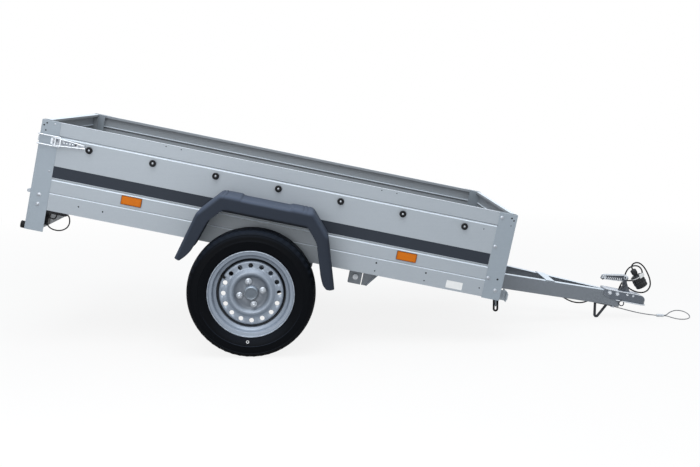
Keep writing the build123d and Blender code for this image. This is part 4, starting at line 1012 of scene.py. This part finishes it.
def wheelDetail(side, facts, segments):
    # a small turned piece at its own turn about the axle, leaning outwards or inwards
    centre, facing, across, other = wheelPlaces(side)
    angle = math.radians(facts["turn"]) * -side + parkedTilt
    out = across * math.cos(angle) + other * math.sin(angle)
    mesh = bmesh.new()
    lathe(mesh, facts["profile"], centre + out * facts["radius"] + facing * facts["lift"],
          facing + out * facts["lean"], segments)
    return mesh


for side, word in ((-1, "right"), (1, "left")):
    body = "wheel_" + word
    name = word.capitalize()
    addPiece("tyre" + name, tyreMesh(side), body, "tyre", ("tyre_" + word,), smoothAngle=32)
    addPiece("rim" + name, rimMesh(side), body, "rim_paint", ("rim_" + word,), smoothAngle=40)
    shell, nuts = hubMesh(side)
    addPiece("hub" + name, shell, body, "zinc", ("hub_" + word,), smoothAngle=38, finish="hubSteel")
    addPiece("wheelNuts" + name, nuts, body, "zinc", smoothAngle=38)
    addPiece("valve" + name, wheelDetail(side, valve, 16), body, "black_rubber", smoothAngle=40)
    addPiece("ringMark" + name, wheelDetail(side, ringMark, 24), body, "plate_blank", smoothAngle=40)
print("wheels made")


guard = {  # outlines from the wheel's centre: the crown's runs, and the lip's line under each run
    "outer": ((-341.0, -61.0), (-287.0, 144.0), (-203.0, 240.0), (190.0, 240.0), (273.0, 147.0),
              (340.0, -61.0)),
    "inner": (((-316.0, -64.0), (-298.0, -46.0), (-277.0, -15.0), (-234.0, 117.0)),
              ((-234.0, 117.0), (-178.0, 179.0)), ((-178.0, 179.0), (176.0, 179.0)),
              ((176.0, 179.0), (228.0, 117.0)),
              ((228.0, 117.0), (271.0, -15.0), (289.0, -54.0), (306.0, -67.0))),
    "step": 4.0, "soften": 9, "depth": 212.0, "gap": 0.3, "round": 20.0, "sheet": 4.0,
    "recess": (-115.0, 95.0, 6.0, 9.0), "recessAbove": 232.0,
    "knuckleGrooves": (-194.0, -179.0, 150.0, 168.0), "grooveDepth": 3.0, "grooveHalf": 4.2,
}


def alongLine(points, part):
    # the place a part of the way along a line of straight runs
    runs = [(Vector(b) - Vector(a)).length for a, b in zip(points, points[1:])]
    reach = part * sum(runs)
    for start, end, run in zip(points, points[1:], runs):
        if reach <= run or end == points[-1]:
            return Vector(start).lerp(Vector(end), min(reach / run, 1.0))
        reach -= run


def softened(points, rounds):
    for _ in range(rounds):
        between = [(a + b * 2 + c) / 4 for a, b, c in zip(points, points[1:], points[2:])]
        points = [points[0]] + between + [points[-1]]
    return points


def guardStations():
    outer, inner = [], []
    for section in range(len(guard["outer"]) - 1):
        run = guard["outer"][section:section + 2]
        count = round((Vector(run[1]) - Vector(run[0])).length / guard["step"])
        for step in range(count + (section == len(guard["outer"]) - 2)):
            outer.append(alongLine(run, step / count))
            inner.append(alongLine(guard["inner"][section], step / count))
    return softened(outer, guard["soften"]), softened(inner, guard["soften"])


def guardDip(x):
    # how far the crown lies below its outline at x ahead of the wheel
    rear, front, depth, slope = guard["recess"]
    inside = min(x - rear, front - x)
    dip = depth * min(max(inside / slope + 0.5, 0.0), 1.0)
    for place in guard["knuckleGrooves"]:
        dip += guard["grooveDepth"] * max(0.0, 1.0 - (abs(x - place) / guard["grooveHalf"]) ** 2)
    return dip


def guardMesh(mesh, side):
    outer, inner = guardStations()
    wall, face = trailer["wallFace"] + guard["gap"], trailer["half"] + guard["depth"]
    radius, sheet = guard["round"], guard["sheet"]
    hollow = radius - sheet
    loops = []
    for index, (rimPoint, lipPoint) in enumerate(zip(outer, inner)):
        along = (outer[min(index + 1, len(outer) - 1)] - outer[max(index - 1, 0)]).normalized()
        inward = Vector((along.y, -along.x))
        dip = guardDip(rimPoint.x) if rimPoint.y > guard["recessAbove"] else 0.0
        section = []

        def put(depth, point):
            section.append(mesh.verts.new((trailer["wheelX"] + point.x, side * depth, point.y)))

        def crown(depth, drop, share):
            put(depth, rimPoint + inward * (drop + dip * share))

        put(wall, lipPoint)
        put(wall, lipPoint.lerp(rimPoint, 0.5))
        crown(wall, 2.0, 1.0)
        crown(wall + 2.0, 0.0, 1.0)
        crown(wall + 70.0, 0.0, 1.0)
        crown(face - radius - 30.0, 0.0, 1.0)
        for step in range(7):
            angle = math.pi / 2 * step / 6
            crown(face - radius + radius * math.sin(angle), radius * (1 - math.cos(angle)), 1.0 - step / 6)
        shoulder = rimPoint + inward * radius
        for part in (0.3, 0.6, 0.9):
            put(face, shoulder.lerp(lipPoint, part))
        put(face - 0.6, shoulder.lerp(lipPoint, 0.97))
        put(face - 2.0, lipPoint)
        put(face - sheet, shoulder.lerp(lipPoint, 0.98))
        put(face - sheet, shoulder.lerp(lipPoint, 0.5))
        for step in range(4):
            angle = math.pi / 2 * (1 - step / 3)
            crown(face - radius + hollow * math.sin(angle), radius - hollow * math.cos(angle), step / 3)
        crown(wall + sheet, sheet, 1.0)
        put(wall + sheet, lipPoint.lerp(rimPoint, 0.5))
        put(wall + sheet, lipPoint)
        loops.append(section)
    joinRings(mesh, loops)
    for loop in (loops[0], loops[-1]):
        mesh.faces.new(loop)


mesh = bmesh.new()
for side in sides:
    guardMesh(mesh, side)
addPiece("mudguards", mesh, "bed", "guard_plastic", ("mudguards",), smoothAngle=50)
print("mudguards made")


latch = {
    "low": ((58.0, 286.0), (64.0, 282.2), (92.0, 282.2), (104.0, 284.0), (150.0, 287.4), (198.0, 291.4)),
    "high": ((58.0, 313.0), (64.0, 316.8), (92.0, 316.8), (104.0, 315.4), (150.0, 311.6), (195.0, 306.0)),
    "tip": (200.0, 298.6), "lift": (14.0, 15.5, 15.5, 14.0, 11.0, 7.0), "web": 3.0, "webSheet": 1.6,
    "sheet": 3.4, "base": (50.0, 78.0, 286.0, 313.0), "middle": 299.5, "hole": (158.0, 3.6),
    "pins": ((92.0, 4.2), (70.0, 3.4)), "pinHalf": 18.6, "pinLift": 9.0,
    "stamps": (107.0, 119.5, 132.0, 144.5), "stamp": ((0, 4.6), (1.0, 3.6), (1.4, 2.2), (1.4, 0)),
}
mesh, web, dark = bmesh.new(), bmesh.new(), bmesh.new()
for side in sides:
    near = trailer["half"] + 0.2
    for edge, inwards in ((latch["low"], 1), (latch["high"], -1)):
        rows = []
        for (x, z), lift in zip(edge, latch["lift"]):
            offsets = ((0, latch["web"]), (0, lift), (latch["sheet"], lift), (latch["sheet"], latch["web"]))
            rows.append([mesh.verts.new((x, side * (near + rise), z + inwards * across))
                         for across, rise in offsets])
        joinRings(mesh, rows)
        mesh.faces.new(rows[0])
        mesh.faces.new(rows[-1])
    outline = latch["low"] + (latch["tip"],) + latch["high"][::-1]
    back = near + latch["web"]
    face = back + latch["webSheet"]
    prism(web, outline, side * back, side * face, sideways)
    for x in latch["stamps"]:
        lathe(mesh, latch["stamp"], (x, side * (face - 0.1), latch["middle"]), (0, side, 0), 12)
    prism(mesh, roundedOutline(*latch["base"], 3.0), side * near, side * back, sideways)
    half = latch["pinHalf"]
    for x, radius in latch["pins"]:
        lathe(mesh, ((-half, 0), (-half, radius), (half, radius), (half, 0)),
              (x, side * (near + latch["pinLift"]), latch["middle"]), (0, 0, 1), 14)
    # painted shade: a thin black disc on the web's face stands for the shade in the lever's hole
    x, radius = latch["hole"]
    lathe(dark, ((0, radius), (0.35, radius), (0.35, 0)), (x, side * face, latch["middle"]), (0, side, 0), 20)
# the levers' rails, stamps, base and pins are in bright zinc made lighter still, which paints their
# highlights
addPiece("latchLevers", mesh, "bed", "zinc", ("latch_levers",), bevel=0.0004, finish="brightZincAndHighlight")
addPiece("latchWebs", web, "bed", "zinc", bevel=0.0004, finish="pressedZinc")
addPiece("latchHoleShades", dark, "bed", "black_rubber")

sideLens = {  # each layer: half length, half height, corner, and how far it starts and ends off the wall
    "places": ((430.5, 109.5), (1648.0, 108.0)),
    "frame": (45.0, 20.0, 4.0, 0.0, 3.2), "rim": (43.4, 18.4, 3.4, 3.2, 5.4),
    "field": (39.0, 14.5, 2.4, 5.0, 7.0),
}
mesh, base = bmesh.new(), bmesh.new()
for side in sides:
    for x, z in sideLens["places"]:
        for target, layer in ((base, "frame"), (mesh, "rim"), (mesh, "field")):
            a, b, corner, low, high = sideLens[layer]
            prism(target, roundedOutline(x - a, x + a, z - b, z + b, corner),
                  side * (trailer["wallFace"] + low), side * (trailer["wallFace"] + high), sideways)
addPiece("sideReflectors", mesh, "bed", "amber_lens", ("side_reflectors",), bevel=0.0008)
addPiece("sideReflectorFrames", base, "bed", "black_plastic", bevel=0.0005)

frontLens = {"x": 2122.0, "y": (462.0, 553.0), "z": (-2.0, 37.0), "frame": 5.0}
mesh, base = bmesh.new(), bmesh.new()
for side in sides:
    low, high = sorted(side * y for y in frontLens["y"])
    bottom, top = frontLens["z"]
    x, edge = frontLens["x"], frontLens["frame"]
    prism(base, roundedOutline(low, high, bottom, top, 4.0), x, x + 3.0, crossways)
    prism(mesh, roundedOutline(low + edge, high - edge, bottom + edge, top - edge, 2.4), x + 2.8, x + 7.0,
          crossways)
addPiece("frontReflectors", mesh, "bed", "white_lens", ("front_reflectors",), bevel=0.0008)
addPiece("frontReflectorFrames", base, "bed", "white_lens", bevel=0.0005)

rearLamp = {
    "outer": (280.0, 490.0), "z": (-92.0, -17.0), "back": 56.0, "rim": 24.0,
    "fields": ((285.0, 330.0, "white_lens", "White", 17.0), (333.0, 418.0, "red_lens", "Red", 14.6),
               (421.0, 485.0, "amber_lens", "Amber", 14.2)),
    "ribPitch": 6.4, "ribHalf": 1.1, "ribEnd": 8.0,
}
mesh = bmesh.new()
for side in sides:
    low, high = sorted(side * y for y in rearLamp["outer"])
    prism(mesh, roundedOutline(low, high, *rearLamp["z"], 10.0), rearLamp["rim"], rearLamp["back"], crossways)
addPiece("rearLampHousings", mesh, "bed", "black_plastic", ("rear_lamps",), bevel=0.0012)
for near, far, slot, word, proud in rearLamp["fields"]:
    mesh = bmesh.new()
    for side in sides:
        low, high = sorted(side * y for y in (near, far))
        bottom, top = rearLamp["z"][0] + 4.0, rearLamp["z"][1] - 4.0
        outline = roundedOutline(low, high, bottom, top, 6.0)
        prism(mesh, outline, proud + 1.0, rearLamp["rim"] + 2.0, crossways)
        end, half = rearLamp["ribEnd"], rearLamp["ribHalf"]
        ribs = int((high - low - 2 * end) / rearLamp["ribPitch"])
        for rib in range(ribs):
            y = (low + high) / 2 + (rib - (ribs - 1) / 2) * rearLamp["ribPitch"]
            outline = ((y - half, bottom + end), (y + half, bottom + end), (y + half, top - end),
                       (y - half, top - end))
            prism(mesh, outline, proud, proud + 2.0, crossways)
    addPiece("rearLamp" + word, mesh, "bed", slot, bevel=0.0006)
print("latches and lamps made")


plug = {
    "start": (2828.0, 0.0, 189.5), "end": (2894.0, 0.0, 117.0), "segments": 96,
    "profile": ((0, 0), (0, 10.6), (1.2, 12.0), (3.0, 14.6), (21.0, 15.0), (24.0, 13.6), (26.0, 11.6),
                (30.0, 11.6), (32.0, 18.0), (34.6, 24.0), (39.0, 29.0), (42.0, 30.4), (58.0, 31.0),
                (60.0, 31.0), (60.6, 32.4), (65.0, 32.5), (66.0, 31.0), (71.0, 31.0), (72.0, 32.5),
                (77.6, 32.4), (78.2, 30.6), (95.0, 30.0), (97.6, 28.4), (98.0, 26.0), (95.0, 24.6),
                (90.0, 24.0), (90.0, 0)),
    "ribs": 16, "ribbed": (39.0, 96.0), "ribOutside": 28.0, "ribDepth": 2.2,
    "gland": (4.0, 22.0), "glandEvery": 8, "glandDepth": 1.2,
}
start, end = Vector(plug["start"]), Vector(plug["end"])
axis = (end - start).normalized()
mesh = bmesh.new()
rings = lathe(mesh, plug["profile"], start, axis, plug["segments"])
for (along, radius), ring in zip(plug["profile"], rings):
    ribbed = radius > plug["ribOutside"] and plug["ribbed"][0] <= along <= plug["ribbed"][1]
    grooved = plug["gland"][0] <= along <= plug["gland"][1]
    middle = start + axis * along
    for step, vertex in enumerate(ring):
        depth = 0.0
        if ribbed:
            wave = math.cos(2 * math.pi * step * plug["ribs"] / plug["segments"])
            depth = plug["ribDepth"] * (0.5 + 0.5 * wave)
        elif grooved and step % plug["glandEvery"] < plug["glandEvery"] / 2:
            depth = plug["glandDepth"]
        if depth:
            vertex.co = middle + (vertex.co - middle) * (1 - depth / radius)
plugPiece = addPiece("plug", mesh, "drawbar", "black_plastic", ("plug",), smoothAngle=34,
                     finish="plugPlastic")

lockGrip = {  # the pull loop of the tilt lock, which hangs plumb on the parked trailer
    "x": 2122.0, "z": 18.0, "y": 270.0, "half": 8.6, "drop": 120.0, "radius": 4.8, "corner": 8.6,
    "tongue": (8.0, 100.0, 4.4), "tongueTaper": 8.0,
    "collar": ((0, 6.2), (0, 13.0), (1.0, 14.0), (11.0, 14.0), (12.0, 13.0), (12.0, 6.2)),
}
down = Vector((math.sin(parkedTilt), 0, -math.cos(parkedTilt)))
across = Vector((math.cos(parkedTilt), 0, math.sin(parkedTilt)))
hang = Vector((lockGrip["x"], -lockGrip["y"], lockGrip["z"]))
half, corner = lockGrip["half"], lockGrip["corner"]
turnFrom = lockGrip["drop"] - corner
line = [hang - across * half + down * drop for drop in (8.0, 50.0, turnFrom)]
for step in range(1, 12):
    angle = math.pi * step / 12
    line.append(hang - across * half * math.cos(angle) + down * (turnFrom + corner * math.sin(angle)))
line += [hang + across * half + down * drop for drop in (turnFrom, 50.0, 8.0)]
mesh = bmesh.new()
tubeAlong(mesh, line, lockGrip["radius"], 14)
lathe(mesh, lockGrip["collar"], hang + Vector((0, -6, 0)), (0, 1, 0), 28, closed=True)
addPiece("lockGrip", mesh, "bed", "black_rubber", ("tilt_lock_handle",), smoothAngle=45)
mesh = bmesh.new()
top, bottom, half = lockGrip["tongue"]
taper = bottom - lockGrip["tongueTaper"]
outline = ((-half, top), (half, top), (half, taper), (half / 2, bottom), (-half / 2, bottom), (-half, taper))
prism(mesh, outline, -1.0, 1.0, lambda a, b, depth: hang + across * a + down * b + Vector((0, depth, 0)))
addPiece("lockTongue", mesh, "bed", "galvanised_heavy", bevel=0.0004)

couplingBolt = {
    "places": ((2729.0, 60.0), (2767.0, 61.0)), "face": 43.2,
    "washer": ((0, 11.0), (1.8, 11.0), (2.0, 10.4)), "head": ((1.9, 9.2), (7.0, 9.2), (8.0, 8.2), (8.0, 0)),
}
mesh = bmesh.new()
for side in sides:
    for x, z in couplingBolt["places"]:
        place = (x, side * couplingBolt["face"], z)
        lathe(mesh, couplingBolt["washer"], place, (0, side, 0), 24)
        lathe(mesh, couplingBolt["head"], place, (0, side, 0), 6)
# the bolt heads are in the lighter zinc that paints their highlights
addPiece("couplingBolts", mesh, "drawbar", "zinc", ("coupling_bolts",), bevel=0.0004, finish="brightZincAndHighlight")

catch = {
    "line": ((2781.0, -22.0, 80.0), (2787.0, -22.0, 92.0), (2796.0, -18.0, 103.0), (2806.0, -11.0, 112.0)),
    "radius": 6.0,
}
wireRing = {"centre": (2797.0, -46.0, 21.0), "half": (11.5, 3.0, 13.0), "radius": 2.6}
mesh = bmesh.new()
tubeAlong(mesh, [Vector(point) for point in catch["line"]], catch["radius"], 12)
a, b, c = wireRing["half"]
turns = [math.radians(turn) for turn in range(80, 441, 12)]
ring = [Vector(wireRing["centre"]) + Vector((a * math.cos(turn), b * math.sin(2 * turn), c * math.sin(turn)))
        for turn in turns]
tubeAlong(mesh, ring, wireRing["radius"], 10)
addPiece("catchWires", mesh, "drawbar", "dark_steel", smoothAngle=60)

headTrim = {  # beads along the head's lower rim and shoulder
    "half": 43.2, "straight": (2768.0, 2800.0), "ball": (2884.0, 38.0), "rim": 4.5, "rimHeight": 30.6,
    "bead": 2.5,
    "shoulder": ((2704.0, 41.8, 75.2), (2800.0, 41.8, 75.2), (2838.0, 39.4, 76.6), (2878.0, 36.8, 76.2),
                 (2902.0, 31.4, 69.6), (2913.0, 21.5, 59.0), (2919.0, 9.0, 48.0)),
}
leverTrim = {  # the lever's turned rails and hem, its pivot rings and its pressed ribs
    "half": 13.4, "face": 14.0, "railRadius": 2.2, "hemRadius": 1.5,
    "rail": ((2685.0, 120.0), (2686.5, 133.0), (2692.5, 137.2), (2797.0, 156.0), (2807.0, 153.0),
             (2812.6, 144.0)),
    "hem": ((2686.0, 118.0), (2734.0, 120.4), (2789.0, 125.4)),
    "rings": ((2697.0, 127.4, 7.4), (2798.0, 145.0, 9.4)),
    "ribs": 8, "ribFrom": (2712.0, 121.6), "ribPitch": 9.4, "ribRise": 0.09, "ribHeight": 11.0,
    "ribHalf": 1.6, "ribLean": 1.0, "ribProud": 1.4,
}
mesh = bmesh.new()
for side in sides:
    lines = []
    reach = headTrim["half"] + headTrim["rim"]
    edge = [Vector((x, side * reach, headTrim["rimHeight"])) for x in headTrim["straight"]]
    middle, nose = headTrim["ball"]
    nose += headTrim["rim"]
    for step in range(13):
        angle = math.pi / 2 * (1 - step / 12)
        edge.append(Vector((middle + nose * math.cos(angle), side * nose * math.sin(angle),
                            headTrim["rimHeight"])))
    lines.append((edge, 4.0, headTrim["bead"]))
    lines.append(([Vector((x, side * y, z)) for x, y, z in headTrim["shoulder"]], 5.0, headTrim["bead"]))
    for part in ("rail", "hem"):
        edge = [Vector((x, side * leverTrim["half"], z)) for x, z in leverTrim[part]]
        lines.append((edge, 4.0, leverTrim[part + "Radius"]))
    for edge, step, radius in lines:
        tubeAlong(mesh, evenLine(edge, step)[0], radius, 10)
    for x, z, radius in leverTrim["rings"]:
        profile = ((0, radius), (2.0, radius - 0.6), (2.4, radius - 2.0), (1.2, radius * 0.55), (1.2, 0))
        lathe(mesh, profile, (x, side * leverTrim["face"], z), (0, side, 0), 20)
    half, lean = leverTrim["ribHalf"], leverTrim["ribLean"]
    for rib in range(leverTrim["ribs"]):
        ahead = rib * leverTrim["ribPitch"]
        x, low = leverTrim["ribFrom"][0] + ahead, leverTrim["ribFrom"][1] + ahead * leverTrim["ribRise"]
        high = low + leverTrim["ribHeight"]
        outline = ((x - half, low), (x + half, low), (x + half + lean, high), (x - half + lean, high))
        prism(mesh, outline, side * leverTrim["face"], side * (leverTrim["face"] + leverTrim["ribProud"]),
              sideways)
# the head's beads and the lever's rails, hem, rings and ribs are in the lighter zinc that paints their
# highlights
addPiece("couplingTrim", mesh, "drawbar", "zinc", smoothAngle=50, finish="brightZincAndHighlight")

dimple = {  # pressed in the head's cheeks, which close in by the taper ahead of the place taperFrom
    "places": ((2818.0, 66.0), (2849.0, 65.0)), "taperFrom": 2800.0, "taper": 0.062,
    "profile": ((0, 5.4), (1.0, 4.8), (1.2, 3.8), (0.3, 3.0), (0.2, 0)),
}
mesh = bmesh.new()
for side in sides:
    for x, z in dimple["places"]:
        cheek = couplingBolt["face"] - (x - dimple["taperFrom"]) * dimple["taper"]
        lathe(mesh, dimple["profile"], (x, side * cheek, z), (0, side, 0), 20)
# the dimples are in the lighter zinc that paints their highlights
addPiece("couplingDimples", mesh, "drawbar", "zinc", smoothAngle=50, finish="brightZincAndHighlight")

plugTie = {  # a blank paper tag on a band round the plug
    "at": 41.0, "radius": 31.8, "sheet": 1.6, "width": 3.4,
    "tag": ((8.0, 6.0), (6.0, 30.0), (-12.0, 34.0), (-14.0, 9.0)), "tagAt": 33.0, "tagSheet": 1.4,
}
mesh = bmesh.new()
outside, half = plugTie["radius"], plugTie["width"] / 2
inside, foot = outside - plugTie["sheet"], start + axis * plugTie["at"]
lathe(mesh, ((-half, inside), (-half, outside), (half, outside), (half, inside)), foot, axis, 48, closed=True)
up = Vector((0, -1, 0)).cross(axis)
prism(mesh, plugTie["tag"], plugTie["tagAt"], plugTie["tagAt"] + plugTie["tagSheet"],
      lambda a, b, depth: foot + axis * a + up * b + Vector((0, -depth, 0)))
addPiece("plugTie", mesh, "drawbar", "plate_blank", bevel=0.0003)
print("drawbar end dressed")


lampFacts = {  # place, aimed at, size, watts
    "skyLamp": ((-0.5, -2.6, 4.8), (-0.1, 0.0, 0.4), 3.4, 112.0),
    "frontFill": ((-1.0, -4.3, 1.4), (-0.3, 0.0, 0.45), 2.0, 60.0),
    "farLamp": ((0.6, 3.4, 4.4), (0.0, 0.0, 0.4), 3.5, 25.0),
}
for name, (place, aim, size, watts) in lampFacts.items():
    lamp = bpy.data.objects.new(name, bpy.data.lights.new(name, "AREA"))
    bpy.context.scene.collection.objects.link(lamp)
    lamp.data.size, lamp.data.energy = size, watts
    lamp.location = place
    lamp.rotation_euler = (Vector(aim) - Vector(place)).to_track_quat("-Z", "Y").to_euler()


def raysThat(tree, *kinds):
    # one where any of these kinds of ray meets the surface
    rays = addNode(tree, "ShaderNodeLightPath").outputs
    found = rays[f"Is {kinds[0]} Ray"]
    for kind in kinds[1:]:
        found = calculate(tree, "MAXIMUM", found, rays[f"Is {kind} Ray"])
    return found


def mixShaders(tree, factor, first, second, surface):
    choose = addNode(tree, "ShaderNodeMixShader")
    for socket, source in zip(choose.inputs, (factor, first, second)):
        tree.links.new(source, socket)
    tree.links.new(choose.outputs[0], surface)


world = bpy.data.worlds.new("studio")
bpy.context.scene.world = world
world.use_nodes = True
tree = world.node_tree
sky = setInputs(tree.nodes["Background"], Color=(0.90, 0.95, 1.0, 1.0), Strength=0.55)
shown = setInputs(addNode(tree, "ShaderNodeBackground"), Color=(1, 1, 1, 1), Strength=1.0)
mixShaders(tree, raysThat(tree, "Camera", "Glossy", "Transmission"), sky.outputs[0], shown.outputs[0],
           tree.nodes["World Output"].inputs["Surface"])

studioFloor = {  # it clears from the shade near the trailer to plain white, in metres from the middle
    "size": 60.0, "colour": (0.90, 0.90, 0.90, 1), "glowNear": 0.86, "clearFrom": 2.2, "clearAt": 5.0,
}
floorMesh = bpy.data.meshes.new("studioFloor")
reach = studioFloor["size"]
floorMesh.from_pydata([(-reach, -reach, 0), (reach, -reach, 0), (reach, reach, 0), (-reach, reach, 0)], [],
                      [(0, 1, 2, 3)])
floorPiece = bpy.data.objects.new("studioFloor", floorMesh)
bpy.context.scene.collection.objects.link(floorPiece)
floorMaterial, tree, shader = newMaterial("studioFloorWhite", Roughness=0.9, Specular_IOR_Level=0.1)
shader.inputs["Base Color"].default_value = studioFloor["colour"]
glow = setInputs(addNode(tree, "ShaderNodeEmission"), Color=(1, 1, 1, 1), Strength=1.0)
away = vectorCalculate(tree, "LENGTH", objectPlace(tree))["Value"]
clear = mapRange(tree, away, studioFloor["clearFrom"], studioFloor["clearAt"], studioFloor["glowNear"], 1.0)
mixShaders(tree, calculate(tree, "MULTIPLY", raysThat(tree, "Camera", "Glossy"), clear), shader.outputs[0],
           glow.outputs[0], tree.nodes["Material Output"].inputs["Surface"])
floorMesh.materials.append(floorMaterial)
bpy.context.scene.view_settings.view_transform = "Standard"
print("lamps and floor set")
